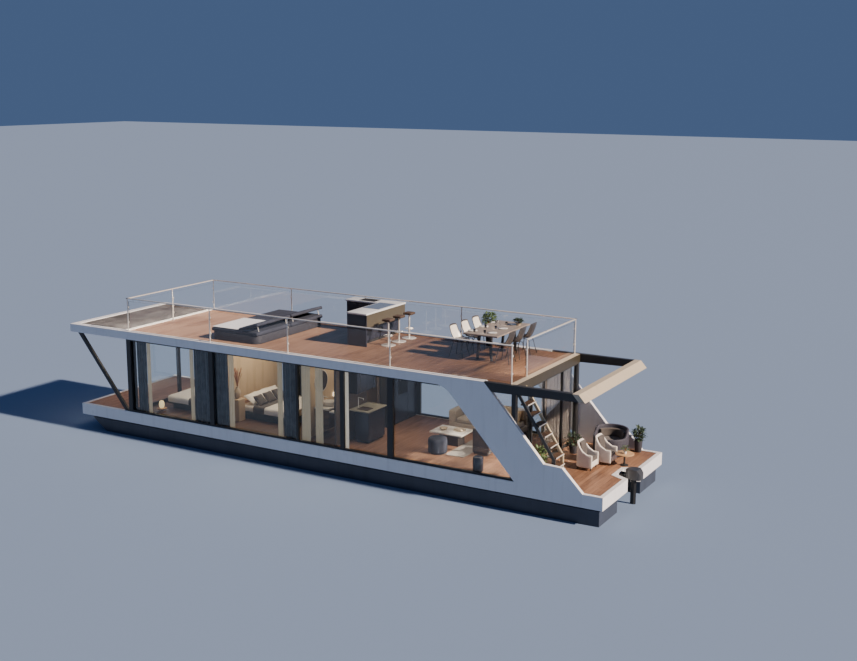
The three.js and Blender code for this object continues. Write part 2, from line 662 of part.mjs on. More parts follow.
function makeTerrace() {
  const terrace = group(boat, 0, 0, ROOF_TOP);
  const wideFore = legAftAt(SLAB_TOP) - CLEAR;
  const plan = outline([
    [ROOF_DECK_AFT, -BEAM_IN],
    [wideFore, -BEAM_IN],
    [wideFore, -ROOF_DECK_HALF],
    [ROOF_DECK_BOW, -ROOF_DECK_HALF],
    [ROOF_DECK_BOW, ROOF_DECK_HALF],
    [wideFore, ROOF_DECK_HALF],
    [wideFore, BEAM_IN],
    [ROOF_DECK_AFT, BEAM_IN],
  ]);
  const floor = level(plan, [-BOARD, FOOT_ON_BOARDS]);
  part(terrace, "roof_boards", join(floor, ...CHAIRS.map(chair), ...STOOLS.map(stool)), boards);
  part(terrace, "dining_table", joined(TERRACE.dining_table), oak);
  part(terrace, "bar", joined(TERRACE.bar), charcoal);
  part(terrace, "sunbeds", sunbeds(), charcoal);
}

// Two sunbeds side by side on one low base with round corners, each with a raised back at its aft end
function sunbeds() {
  const { aft, fore, starboard, port, middle } = SUNBED;
  const { corner, margin, gap, base, top, backLength, backTop } = SUNBED_FORM;
  const plan = new THREE.Shape();
  plan.moveTo(aft + corner, starboard);
  plan.lineTo(fore - corner, starboard);
  plan.quadraticCurveTo(fore, starboard, fore, starboard + corner);
  plan.lineTo(fore, port - corner);
  plan.quadraticCurveTo(fore, port, fore - corner, port);
  plan.lineTo(aft + corner, port);
  plan.quadraticCurveTo(aft, port, aft, port - corner);
  plan.lineTo(aft, starboard + corner);
  plan.quadraticCurveTo(aft, starboard, aft + corner, starboard);
  const mattress = outline([
    [aft + margin, base - 1],
    [fore - margin, base - 1],
    [fore - margin, top],
    [aft + margin + backLength, top],
    [aft + margin + 100, backTop],
    [aft + margin, backTop - 20],
  ]);
  const beds = [
    [starboard + margin, middle - gap / 2],
    [middle + gap / 2, port - margin],
  ].map((y) => upright(mattress, y));
  return join(level(plan, [FOOT_ON_BOARDS, base]), ...beds);
}

// Aft deck furniture on the boards
const LOUNGE = [
  // name, x and y of the middle, half width
  ["lounge_chair_port", 1250, 130, 240],
  ["lounge_chair_middle", 1010, -540, 250],
];
const TUB = { x: 1200, y: -1400, radius: 480, seat: 380, front: 500, back: 700, wall: 70 };
const LOW_TABLE = { x: 490, y: -580, radius: 250, top: 330, foot: 110 };
const PLANTER = { x: 590, y: -1880, radius: 115, height: 330 };
function makeAftDeck() {
  const deck = group(boat, 0, 0, FLOOR);
  for (const [name, x, y, half] of LOUNGE) part(deck, name, lounge(x, y, half), cream);
  part(deck, "tub_sofa", tub(), charcoal);
  const { x, y } = LOW_TABLE;
  const plate = rod([x, y, LOW_TABLE.top - 30], [x, y, LOW_TABLE.top], LOW_TABLE.radius, 24);
  const foot = rod([x, y, 0], [x, y, LOW_TABLE.top - 29], LOW_TABLE.foot, 16);
  part(deck, "low_table", join(plate, foot), oak);
  const pot = PLANTER;
  part(deck, "planter", rod([pot.x, pot.y, 0], [pot.x, pot.y, pot.height], pot.radius, 20), charcoal);
}

// Round seat in a rim that stands higher round its starboard half
function tub() {
  const { x, y, radius, seat, front, back, wall } = TUB;
  const round = (r, low, high) => rod([x, y, low], [x, y, high], r, 24);
  const openSide = block([x - radius - 1, x + radius + 1], [y, y + radius + 1], [front, back + 1]);
  const rim = cut(round(radius, seat - 1, back), round(radius - wall, seat - 2, back + 1), openSide);
  return join(round(radius, 0, seat), rim);
}

// Lounge chair facing aft: a seat block inside a shell whose arms slope down from the back
const SHELL = { wall: 55, seat: 340, back: 740, arm: 420 };
function lounge(x, y, half) {
  const { wall } = SHELL;
  const side = outline([
    [x - half, 0],
    [x + half, 0],
    [x + half, SHELL.back - 20],
    [x + half - wall, SHELL.back],
    [x - half, SHELL.arm],
  ]);
  const inner = block(
    [x - half - 1, x + half - wall],
    [y - half + wall, y + half - wall],
    [SHELL.seat, SHELL.back + 1],
  );
  return cut(upright(side, [y - half, y + half]), inner);
}

// Outboard motor: clamp bracket on the notch's back wall, swivel bracket on the tilt pin, cowl and leg
// turning on the swivel's upright tube, and the propeller on the gear case's shaft
const TILT = { x: 290, z: 1190, pin: 12 };
const STEER_X = 130;
const COWL = { foot: 1130, top: 1400, nose: 98 };
const SHAFT_Z = 240;
function makeMotor() {
  const arm = outline([
    [NOTCH.depth - CLEAR, 880],
    [NOTCH.depth - CLEAR, 1235],
    [TILT.x - 25, 1225],
    [TILT.x - 25, 1155],
    [NOTCH.depth - 60, 1100],
    [NOTCH.depth - 60, 880],
  ]);
  const bracket = join(
    block([NOTCH.depth - 30, NOTCH.depth - CLEAR], [-115, 115], [880, 1235]),
    ...[[-110, -80], [80, 110]].map((y) => upright(arm, y)),
    rod([TILT.x, -100, TILT.z], [TILT.x, 100, TILT.z], TILT.pin, 16),
  );
  part(boat, "outboard_bracket", bracket, charcoal);
  const tube = [798, 1111];
  const web = outline([
    [STEER_X, 900],
    [STEER_X, 1100],
    [TILT.x - 65, 1100],
    [TILT.x - 28, TILT.z + 20],
    [TILT.x + 24, TILT.z + 20],
    [TILT.x + 20, TILT.z - 40],
    [TILT.x - 20, 1040],
  ]);
  const swivel = cut(
    join(rod([STEER_X, 0, tube[0]], [STEER_X, 0, tube[1]], 40, 20), upright(web, [-70, 70])),
    rod([TILT.x, -100, TILT.z], [TILT.x, 100, TILT.z], TILT.pin + CLEAR, 16),
  );
  part(boat, "outboard_swivel", swivel, charcoal);
  part(boat, "outboard_cowl", motorCowl(), charcoal);
  const plan = outline([[-70, 0], [-20, -45], [60, -45], [78, -20], [78, 20], [60, 45], [-20, 45]]);
  const torpedo = [[0, 0], [32, 12], [50, 60], [55, 120], [55, 250], [46, 300], [0, 300]];
  const turned = new THREE.LatheGeometry(torpedo.map(([r, h]) => new THREE.Vector2(r, h)), 16);
  const gearCase = solid(turned.rotateZ(Math.PI / 2).translate(170, 0, SHAFT_Z));
  const skeg = outline([[-70, SHAFT_Z - 40], [90, SHAFT_Z - 40], [20, 45], [-60, 45]]);
  const leg = join(
    level(plan, [SHAFT_Z, COWL.foot]),
    block([-60, STEER_X + 50], [-60, 60], [tube[1] + CLEAR, COWL.foot]),
    block([-20, STEER_X + 45], [-45, 45], [760, tube[0] - CLEAR]),
    block([-170, 110], [-100, 100], [415, 425]),
    gearCase,
    upright(skeg, [-6, 6]),
  );
  part(boat, "outboard_leg", leg, charcoal);
  part(boat, "propeller", propeller(), charcoal);
}

// Cowl: round at the front about the steering axis, wider behind, with a sloped back
function motorCowl() {
  const plan = new THREE.Shape();
  plan.absarc(STEER_X, 0, COWL.nose, -Math.PI / 2, Math.PI / 2, false);
  plan.quadraticCurveTo(-20, 170, -150, 150);
  plan.quadraticCurveTo(MOTOR_AFT, 130, MOTOR_AFT, 0);
  plan.quadraticCurveTo(MOTOR_AFT, -130, -150, -150);
  plan.quadraticCurveTo(-20, -170, STEER_X, -COWL.nose);
  const side = outline([
    [MOTOR_AFT, COWL.foot],
    [240, COWL.foot],
    [240, COWL.top - 60],
    [150, COWL.top],
    [-120, COWL.top - 10],
    [MOTOR_AFT, COWL.top - 150],
  ]);
  return level(plan, [COWL.foot, COWL.top]).intersect(upright(side, [-200, 200]));
}

function propeller() {
  const hub = rod([-130 - CLEAR, 0, SHAFT_Z], [-205, 0, SHAFT_Z], 32, 16);
  const blade = outline([[-20, 20], [-60, 90], [-40, 145], [30, 150], [55, 95], [20, 20]]);
  const blades = [0, 1, 2].map((i) => {
    const flat = new THREE.ExtrudeGeometry(blade, { depth: 8, bevelEnabled: false }).translate(0, 0, -4);
    flat.rotateY(Math.PI / 2 - 0.5).rotateX((i * 2 * Math.PI) / 3);
    return solid(flat.translate(-167, 0, SHAFT_Z));
  });
  return join(hub, ...blades);
}

makePontoons();
makeDeck();
makeLegs();
makeRoof();
makePergola();
makeStruts();
makeSides();
makeAftWall();
makeFrontWall();
makePartitions();
makeCabinFurniture();
makeCurtains();
makeStair();
makeRail();
makeTerrace();
makeAftDeck();
makeMotor();

export default houseboat;
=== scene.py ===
import math
import random

import bpy
from mathutils import Matrix, Vector


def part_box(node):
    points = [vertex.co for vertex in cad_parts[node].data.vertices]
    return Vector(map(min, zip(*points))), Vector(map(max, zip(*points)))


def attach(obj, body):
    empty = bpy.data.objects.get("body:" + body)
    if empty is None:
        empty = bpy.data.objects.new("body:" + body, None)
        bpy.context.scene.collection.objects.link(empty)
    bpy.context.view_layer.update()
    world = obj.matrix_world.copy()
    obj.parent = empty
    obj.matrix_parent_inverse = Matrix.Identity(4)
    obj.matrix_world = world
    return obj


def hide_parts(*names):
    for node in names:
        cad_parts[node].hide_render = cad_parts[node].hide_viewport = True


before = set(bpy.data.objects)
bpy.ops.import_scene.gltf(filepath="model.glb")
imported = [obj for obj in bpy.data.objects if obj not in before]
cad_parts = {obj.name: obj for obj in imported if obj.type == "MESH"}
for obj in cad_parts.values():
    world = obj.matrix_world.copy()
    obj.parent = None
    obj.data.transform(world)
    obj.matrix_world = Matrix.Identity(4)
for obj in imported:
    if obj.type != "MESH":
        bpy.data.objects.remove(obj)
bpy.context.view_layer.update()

# The camera hangs high off the port quarter and looks forward along the boat, as the photograph does.
# It sees 857 by 661 pixels through a slightly long lens and hardly rolls.
CAMERA_PLACE = (-18.7925, 28.2266, 11.1105)
CAMERA_AZIMUTH = math.radians(209.8705)
CAMERA_DIP = math.radians(11.743)
CAMERA_ROLL = math.radians(0.195)
PHOTO_WIDTH = 857
FOCAL_PIXELS = 1211.18

bpy.ops.object.camera_add(location=CAMERA_PLACE)
camera = bpy.context.object
camera.name = "camera"
backwards = Vector(
    (
        math.sin(CAMERA_AZIMUTH) * math.cos(CAMERA_DIP),
        -math.cos(CAMERA_AZIMUTH) * math.cos(CAMERA_DIP),
        math.sin(CAMERA_DIP),
    )
)
rightwards = Vector((math.cos(CAMERA_AZIMUTH), math.sin(CAMERA_AZIMUTH), 0))
upwards = backwards.cross(rightwards)
level_view = Matrix((rightwards, upwards, backwards)).transposed()
rolled_view = level_view @ Matrix.Rotation(CAMERA_ROLL, 3, "Z")
camera.rotation_euler = rolled_view.to_euler()
camera.data.sensor_width = 36
camera.data.lens = FOCAL_PIXELS / PHOTO_WIDTH * camera.data.sensor_width
camera.data.clip_end = 500
bpy.context.scene.camera = camera

# The studio is a blue-grey floor at the waterline, a low warm key light from astern and a deep blue sky that
# fills the shaded port side. Soft lamps light the rooms behind the glass and the bow deck.
WATERLINE = 0.45
bpy.ops.mesh.primitive_plane_add(size=400, location=(0, 0, WATERLINE))
floor = bpy.context.object
floor.name = "studio_floor"
pale = bpy.data.materials.new("studio_pale")
pale.use_nodes = True
pale.node_tree.nodes["Principled BSDF"].inputs["Base Color"].default_value = (0.17, 0.24, 0.37, 1)
pale.node_tree.nodes["Principled BSDF"].inputs["Roughness"].default_value = 0.9
floor.data.materials.append(pale)

KEY_FROM = Vector((-0.836, -0.03, 0.547))
bpy.ops.object.light_add(type="SUN", location=KEY_FROM * 30)
key = bpy.context.object
key.rotation_euler = KEY_FROM.to_track_quat("Z", "Y").to_euler()
key.data.energy = 8.6
key.data.angle = math.radians(2)
key.data.color = (1.0, 0.83, 0.68)

sky = bpy.data.worlds.new("studio_sky")
bpy.context.scene.world = sky
sky.use_nodes = True
sky.node_tree.nodes["Background"].inputs["Color"].default_value = (0.30, 0.50, 1.0, 1)
sky.node_tree.nodes["Background"].inputs["Strength"].default_value = 0.22

ROOM_LIGHTS = [
    # middle x and y in metres from the stern and the centreline, length, width, watts
    (4.9, -0.2, 2.6, 2.4, 26),
    (7.0, 1.0, 0.6, 1.4, 14),
    (8.35, 0.6, 0.5, 2.0, 14),
    (11.2, 0.4, 1.2, 2.4, 40),
    (13.4, 0.2, 2.2, 2.6, 38),
    (16.2, 0.0, 1.2, 3.0, 34),
]
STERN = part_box("deck_platform")[0].x
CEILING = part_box("roof_slab")[0].z


def at(x, y, z):
    """A place: metres from the stern, metres to port of the centreline, and a height."""
    return (STERN + x, y, z)


for x, y, length, width, watts in ROOM_LIGHTS:
    bpy.ops.object.light_add(type="AREA", location=at(x, y, CEILING - 0.06))
    lamp = bpy.context.object
    lamp.data.shape = "RECTANGLE"
    lamp.data.size = length
    lamp.data.size_y = width
    lamp.data.energy = watts
    lamp.data.color = (1.0, 0.82, 0.62)

# Pontoons: welded plate floats in dark satin grey paint. The paint group is shared by all the boat's painted
# parts: it clouds the colour, lets faint runs down from the top, and gives the film its fine relief.


def add_node(tree, kind, sockets=None, **settings):
    """A shader node with its settings, then its socket values or its links from other nodes."""
    node = tree.nodes.new("ShaderNode" + kind)
    for key_name, value in settings.items():
        setattr(node, key_name, value)
    for socket, value in (sockets or {}).items():
        if isinstance(value, bpy.types.NodeSocket):
            tree.links.new(value, node.inputs[socket])
        else:
            node.inputs[socket].default_value = value
    return node


def new_group(name, inputs):
    """A pattern group. It reads a position and its own inputs, and gives colour, roughness and height."""
    group = bpy.data.node_groups.new(name, "ShaderNodeTree")
    group.interface.new_socket("Position", in_out="INPUT", socket_type="NodeSocketVector")
    for label, kind, value in inputs:
        socket = group.interface.new_socket(label, in_out="INPUT", socket_type="NodeSocket" + kind)
        socket.default_value = value
    group.interface.new_socket("Colour", in_out="OUTPUT", socket_type="NodeSocketColor")
    group.interface.new_socket("Roughness", in_out="OUTPUT", socket_type="NodeSocketFloat")
    group.interface.new_socket("Height", in_out="OUTPUT", socket_type="NodeSocketFloat")
    given = group.nodes.new("NodeGroupInput").outputs
    made = group.nodes.new("NodeGroupOutput").inputs
    return group, given, made


def blend_colours(tree, share, first, second):
    """The output of a node that goes from the first colour to the second."""
    return add_node(tree, "Mix", {0: share, 6: first, 7: second}, data_type="RGBA").outputs[2]


def spread(tree, value, low, high, to_low, to_high):
    """The output of a node that carries a value from one range over to another."""
    sockets = {"Value": value, 1: low, 2: high, 3: to_low, 4: to_high}
    return add_node(tree, "MapRange", sockets).outputs["Result"]


def work_out(tree, operation, first, second=0.0):
    """The output of a node that does one sum."""
    return add_node(tree, "Math", {0: first, 1: second}, operation=operation).outputs[0]


def tint(red, green, blue):
    """A colour as seen on a screen, 0 to 255, in the linear values that a shader takes."""
    return tuple(((c / 255 + 0.055) / 1.055) ** 2.4 for c in (red, green, blue)) + (1.0,)


boat_paint, given, made = new_group(
    "boat_paint",
    [
        ("Paint", "Color", tint(230, 230, 230)),
        ("Grime", "Color", tint(150, 145, 135)),
        ("Wear", "Float", 0.3),
        ("Gloss", "Float", 0.35),
    ],
)
clouds = add_node(boat_paint, "TexNoise", {"Vector": given["Position"], "Scale": 1.4, "Detail": 5.0})
drawn_down = add_node(boat_paint, "Mapping", {"Vector": given["Position"], "Scale": (7.0, 7.0, 0.6)})
runs = add_node(boat_paint, "TexNoise", {"Vector": drawn_down.outputs[0], "Scale": 1.0, "Detail": 6.0})
peel = add_node(boat_paint, "TexNoise", {"Vector": given["Position"], "Scale": 70.0, "Detail": 2.0})
run_share = work_out(
    boat_paint, "MULTIPLY", spread(boat_paint, runs.outputs[0], 0.52, 0.85, 0, 1), given["Wear"]
)
cloud_share = work_out(
    boat_paint, "MULTIPLY", spread(boat_paint, clouds.outputs[0], 0.3, 0.8, 0, 0.5), given["Wear"]
)
stained = blend_colours(boat_paint, cloud_share, given["Paint"], given["Grime"])
boat_paint.links.new(blend_colours(boat_paint, run_share, stained, given["Grime"]), made["Colour"])
dulled = spread(boat_paint, clouds.outputs[0], 0.3, 0.7, -0.05, 0.12)
boat_paint.links.new(work_out(boat_paint, "ADD", dulled, given["Gloss"]), made["Roughness"])
boat_paint.links.new(peel.outputs[0], made["Height"])


def new_finish(name, group, values, relief=0.1, depth=0.002, shine=None):
    """A material whose colour, roughness and relief come from a pattern group."""
    finish = bpy.data.materials.new(name)
    finish.use_nodes = True
    tree = finish.node_tree
    shader = tree.nodes["Principled BSDF"]
    place = add_node(tree, "TexCoord").outputs["Object"]
    pattern = add_node(tree, "Group", {"Position": place, **values}, node_tree=group)
    bump = add_node(
        tree, "Bump", {"Height": pattern.outputs["Height"], "Strength": relief, "Distance": depth}
    )
    tree.links.new(pattern.outputs["Colour"], shader.inputs["Base Color"])
    tree.links.new(pattern.outputs["Roughness"], shader.inputs["Roughness"])
    tree.links.new(bump.outputs["Normal"], shader.inputs["Normal"])
    for socket, value in (shine or {}).items():
        shader.inputs[socket].default_value = value
    return finish


def dress(finish, *nodes):
    """Gives the frame's own nodes a material."""
    for name in nodes:
        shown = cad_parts[name]
        shown.data.materials.clear()
        shown.data.materials.append(finish)


def painted(name, paint, grime=(150, 145, 135), wear=0.3, gloss=0.35, **more):
    """A finish of boat paint."""
    values = {"Paint": tint(*paint), "Grime": tint(*grime), "Wear": wear, "Gloss": gloss}
    return new_finish(name, boat_paint, values, **more)


hull_grey = painted("hull_grey", (58, 64, 78), (38, 44, 50), 0.6, 0.38)
dress(hull_grey, "pontoon_port", "pontoon_starboard")

# Platform band, slanted side legs and roof edges: flat plate in white satin paint, bright on top and clean,
# with a trace of weather in the runs.
band_white = painted("band_white", (238, 238, 240), (176, 172, 166), 0.22, 0.32, shine={"Coat Weight": 0.2})
dress(band_white, "deck_platform", "side_leg_port", "side_leg_starboard")
dress(band_white, "roof_edge_port", "roof_edge_starboard", "roof_edge_bow")

# Roof slab: a white ceiling, a cream border round the boards' aft end, and a dark olive aft face over the
# stern deck. The beam that closes the pergola across the stern is cream too.


def lay_over(finish, group, values, share_at):
    """Lays other colours of a pattern over part of a finish; share_at gives how much, from the length."""
    tree = finish.node_tree
    paint = tree.nodes["Principled BSDF"].inputs["Base Color"]
    place = add_node(tree, "TexCoord").outputs["Object"]
    share = share_at(tree, add_node(tree, "SeparateXYZ", {0: place}).outputs[0])
    other = add_node(tree, "Group", {"Position": place, **values}, node_tree=group)
    tree.links.new(blend_colours(tree, share, paint.links[0].from_socket, other.outputs["Colour"]), paint)


roof_low, roof_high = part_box("roof_slab")
cream_paint = {"Paint": tint(186, 173, 151), "Grime": tint(150, 136, 110), "Wear": 0.3, "Gloss": 0.4}
olive_paint = {"Paint": tint(60, 54, 42), "Grime": tint(44, 40, 32), "Wear": 0.5, "Gloss": 0.5}
roof_white = painted("roof_white", (236, 235, 232), wear=0.15, gloss=0.4)
for paint_values, fore_edge in ((cream_paint, roof_low.x + 0.19), (olive_paint, roof_low.x + 0.002)):
    lay_over(
        roof_white,
        boat_paint,
        paint_values,
        lambda tree, along: work_out(tree, "LESS_THAN", along, fore_edge),
    )
dress(roof_white, "roof_slab")
dress(new_finish("beam_cream", boat_paint, cream_paint), "pergola_end_beam")

# Pergola beams, bow struts and every window and door frame: aluminium sections in fine-textured black powder
# coat, a little dusty on the long faces.
frame_black = painted("frame_black", (40, 41, 43), (74, 72, 70), 0.35, 0.42, relief=0.25)
dress(frame_black, "pergola_beam_port", "pergola_beam_starboard", "bow_strut_port", "bow_strut_starboard")
dress(frame_black, "window_frame_port", "window_frame_starboard", "aft_wall_frame", "aft_door")
dress(frame_black, "front_wall_frame", "front_door")

# Louvres over the bow opening: weathered softwood slats, grey with a long grain. The timber group
# draws its grain along one way of the position that it is given.
timber, given, made = new_group(
    "timber",
    [
        ("Light", "Color", tint(170, 130, 90)),
        ("Dark", "Color", tint(110, 75, 45)),
        ("Gloss", "Float", 0.5),
    ],
)
stretched = add_node(timber, "Mapping", {"Vector": given["Position"], "Scale": (1.2, 1.2, 24.0)})
grain = add_node(
    timber, "TexNoise", {"Vector": stretched.outputs[0], "Scale": 1.6, "Detail": 8.0, "Distortion": 0.6}
)
boards_apart = add_node(timber, "TexNoise", {"Vector": given["Position"], "Scale": 0.9, "Detail": 1.0})
grain_share = spread(timber, grain.outputs[0], 0.3, 0.7, 0, 1)
patchy = spread(timber, boards_apart.outputs[0], 0.35, 0.65, -0.2, 0.2)
wood_tone = work_out(timber, "ADD", grain_share, patchy)
timber.links.new(blend_colours(timber, wood_tone, given["Light"], given["Dark"]), made["Colour"])
timber.links.new(
    work_out(timber, "ADD", spread(timber, grain.outputs[0], 0, 1, -0.1, 0.1), given["Gloss"]),
    made["Roughness"]
)
timber.links.new(grain.outputs[0], made["Height"])


def grained(name, light, dark, gloss, **more):
    """A finish of timber."""
    return new_finish(name, timber, {"Light": tint(*light), "Dark": tint(*dark), "Gloss": gloss}, **more)


louvre_grey = grained("louvre_grey", (104, 101, 101), (56, 54, 53), 0.7, relief=0.5)
dress(louvre_grey, "bow_louvres")

# Deck boards: oiled hardwood outside and in the saloon, walnut in the other rooms, laid with dark seams. The
# plank group parts a surface into boards from the position alone, each board with a tone of its own, and the
# whole field drifts from lighter to darker.
planking, given, made = new_group(
    "planking",
    [
        ("Light", "Color", tint(190, 130, 90)),
        ("Dark", "Color", tint(130, 80, 52)),
        ("Seam", "Color", tint(40, 30, 26)),
        ("Width", "Float", 0.12),
        ("Length", "Float", 3.2),
        ("Gap", "Float", 0.004),
        ("Gloss", "Float", 0.45),
    ],
)
parts_of = add_node(planking, "SeparateXYZ", {0: given["Position"]})
rows = work_out(planking, "DIVIDE", parts_of.outputs[0], given["Width"])
row = work_out(planking, "FLOOR", rows)
row_chance = add_node(planking, "TexWhiteNoise", {"W": row}, noise_dimensions="1D").outputs["Value"]
lengths = work_out(
    planking, "ADD", work_out(planking, "DIVIDE", parts_of.outputs[1], given["Length"]), row_chance
)
board = work_out(planking, "MULTIPLY_ADD", row, 13.7)
planking.links.new(work_out(planking, "FLOOR", lengths), board.node.inputs[2])
board_chance = add_node(planking, "TexWhiteNoise", {"W": board}, noise_dimensions="1D").outputs["Value"]


def seam_distance(count, size):
    """How far a point lies from the nearest seam, in metres."""
    past = work_out(planking, "FRACT", count)
    nearest = work_out(planking, "MINIMUM", past, work_out(planking, "SUBTRACT", 1.0, past))
    return work_out(planking, "MULTIPLY", nearest, size)


to_seam = work_out(
    planking, "MINIMUM", seam_distance(rows, given["Width"]), seam_distance(lengths, given["Length"])
)
wood_share = spread(planking, to_seam, 0.0, 1.0, 0, 1)
planking.links.new(work_out(planking, "MULTIPLY", given["Gap"], 0.35), wood_share.node.inputs[1])
planking.links.new(work_out(planking, "MULTIPLY", given["Gap"], 0.75), wood_share.node.inputs[2])
own_place = add_node(planking, "VectorMath", {0: given["Position"], 1: board_chance}, operation="ADD")
lengthways = add_node(planking, "Mapping", {"Vector": own_place.outputs[0], "Scale": (22.0, 1.5, 22.0)})
figure = add_node(planking, "TexNoise", {"Vector": lengthways.outputs[0], "Scale": 1.5, "Detail": 7.0})
figure_share = spread(planking, figure.outputs[0], 0.25, 0.75, -0.3, 0.3)
drift = add_node(planking, "TexNoise", {"Vector": given["Position"], "Scale": 0.5, "Detail": 2.0}).outputs[0]
worn_share = work_out(planking, "ADD", figure_share, spread(planking, drift, 0.35, 0.65, -0.45, 0.35))
board_tone = work_out(planking, "MULTIPLY_ADD", board_chance, 0.6)
planking.links.new(worn_share, board_tone.node.inputs[2])
wood_colour = blend_colours(planking, board_tone, given["Light"], given["Dark"])
planking.links.new(blend_colours(planking, wood_share, given["Seam"], wood_colour), made["Colour"])
rubbed = spread(planking, figure.outputs[0], 0.2, 0.8, -0.1, 0.12)
planking.links.new(work_out(planking, "ADD", rubbed, given["Gloss"]), made["Roughness"])
relief_of_grain = work_out(planking, "MULTIPLY", figure.outputs[0], 0.12)
planking.links.new(work_out(planking, "ADD", wood_share, relief_of_grain), made["Height"])

hardwood = {"Light": tint(162, 122, 94), "Dark": tint(112, 78, 56), "Seam": tint(50, 36, 30), "Gloss": 0.45}
walnut_floor = {"Light": tint(104, 78, 60), "Dark": tint(66, 46, 36), "Seam": tint(34, 24, 20), "Width": 0.18}
deck_wood = new_finish("deck_wood", planking, hardwood, relief=0.6, depth=0.003)


def past_galley(tree, along):
    """1 in the rooms fore of the galley and 0 elsewhere."""
    fore_of_galley = work_out(tree, "GREATER_THAN", along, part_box("partition_galley")[0].x)
    indoors = work_out(tree, "LESS_THAN", along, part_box("front_wall_frame")[1].x)
    return work_out(tree, "MULTIPLY", fore_of_galley, indoors)


lay_over(deck_wood, planking, walnut_floor, past_galley)
dress(deck_wood, "deck_boards")

# Roof deck: separate hardwood boards with open joints over a dark membrane, laid athwart with staggered butts
# and trimmed square along both sides, with one short board along each side where the roof widens aft. The
# boards are painted paler towards the bow, a painted reflection of the low sun on the wood.
ROOF_BOARD = {"width": 0.1384, "pitch": 0.14244, "length": 3.2, "gap": 0.004, "edge": 0.003}
MEMBRANE = 0.003
boards_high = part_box("roof_boards")[1]
rim_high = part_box("roof_edge_bow")[1]
boards_top = roof_high.z - 0.015


def pick(piece):
    """Leaves only this piece selected."""
    bpy.ops.object.select_all(action="DESELECT")
    piece.select_set(True)
    bpy.context.view_layer.objects.active = piece
    return piece


def add_block(name, low, high):
    """A block between two corners, its place in its mesh."""
    bpy.ops.object.select_all(action="DESELECT")
    low, high = Vector(low), Vector(high)
    bpy.ops.mesh.primitive_cube_add(size=1, location=(low + high) / 2)
    block = bpy.context.object
    block.name = name
    block.scale = high - low
    bpy.ops.object.transform_apply()
    return block


def choose_edges(piece, wanted):
    """Opens the piece for editing with the edges chosen whose middle and direction are wanted."""
    pick(piece)
    bpy.ops.object.mode_set(mode="EDIT")
    bpy.ops.mesh.select_mode(type="EDGE")
    bpy.ops.mesh.select_all(action="DESELECT")
    bpy.ops.object.mode_set(mode="OBJECT")
    corners = piece.data.vertices
    for edge in piece.data.edges:
        start, end = (corners[i].co for i in edge.vertices)
        edge.select = bool(wanted((start + end) / 2, (end - start).normalized()))
    bpy.ops.object.mode_set(mode="EDIT")


def choose_faces(piece, wanted):
    """Opens the piece for editing with the faces chosen whose middle and normal are wanted."""
    pick(piece)
    bpy.ops.object.mode_set(mode="EDIT")
    bpy.ops.mesh.select_mode(type="FACE")
    bpy.ops.mesh.select_all(action="DESELECT")
    bpy.ops.object.mode_set(mode="OBJECT")
    for face in piece.data.polygons:
        face.select = bool(wanted(face.center, face.normal))
    bpy.ops.object.mode_set(mode="EDIT")


def round_edges(piece, radius, segments=2, wanted=None):
    """Rounds the wanted edges, or all of them."""
    choose_edges(piece, wanted or (lambda middle, along: True))
    bpy.ops.mesh.bevel(offset=radius, segments=segments, affect="EDGES", clamp_overlap=True)
    bpy.ops.object.mode_set(mode="OBJECT")
    return piece


def apply_modifier(piece, kind, **settings):
    """Adds a modifier and applies it."""
    pick(piece)
    modifier = piece.modifiers.new(kind, kind)
    for key_name, value in settings.items():
        setattr(modifier, key_name, value)
    bpy.ops.object.modifier_apply(modifier=modifier.name)
    return piece


def smooth(piece, degrees=35):
    """Shades the piece smooth but for its sharp edges."""
    pick(piece)
    bpy.ops.object.shade_smooth_by_angle(angle=math.radians(degrees))
    return piece


def repeat(name, model, places):
    """One mesh that holds a copy of the model at each place; the model itself goes."""
    corners = [v.co.copy() for v in model.data.vertices]
    loops = [tuple(face.vertices) for face in model.data.polygons]
    soft = [face.use_smooth for face in model.data.polygons]
    all_corners = [tuple(place @ corner) for place in places for corner in corners]
    all_faces = [tuple(i + n * len(corners) for i in loop) for n in range(len(places)) for loop in loops]
    mesh = bpy.data.meshes.new(name)
    mesh.from_pydata(all_corners, [], all_faces)
    mesh.polygons.foreach_set("use_smooth", soft * len(places))
    copies = bpy.data.objects.new(name, mesh)
    bpy.context.collection.objects.link(copies)
    bpy.data.objects.remove(model)
    return copies


def weld(name, pieces):
    """Joins pieces into one, which keeps their materials."""
    bpy.ops.object.select_all(action="DESELECT")
    for piece in pieces:
        piece.select_set(True)
    bpy.context.view_layer.objects.active = pieces[0]
    bpy.ops.object.join()
    pieces[0].name = name
    return pieces[0]


def paint_with(piece, finish):
    """Gives a piece one material."""
    piece.data.materials.clear()
    piece.data.materials.append(finish)
    return piece


def fit(piece, slot, *stands_for, body="boat", finish=None):
    """Hangs a finished piece on the body that carries it, and hides the solids that it stands for."""
    if finish:
        paint_with(piece, finish)
    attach(piece, body)
    if stands_for:
        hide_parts(*stands_for)
    return piece


def trim(piece, point, outwards):
    """Cuts a piece off at a plane, and closes the cut."""
    choose_faces(piece, lambda middle, normal: True)
    bpy.ops.mesh.bisect(plane_co=point, plane_no=outwards, use_fill=True, clear_outer=True)
    bpy.ops.object.mode_set(mode="OBJECT")
    return piece


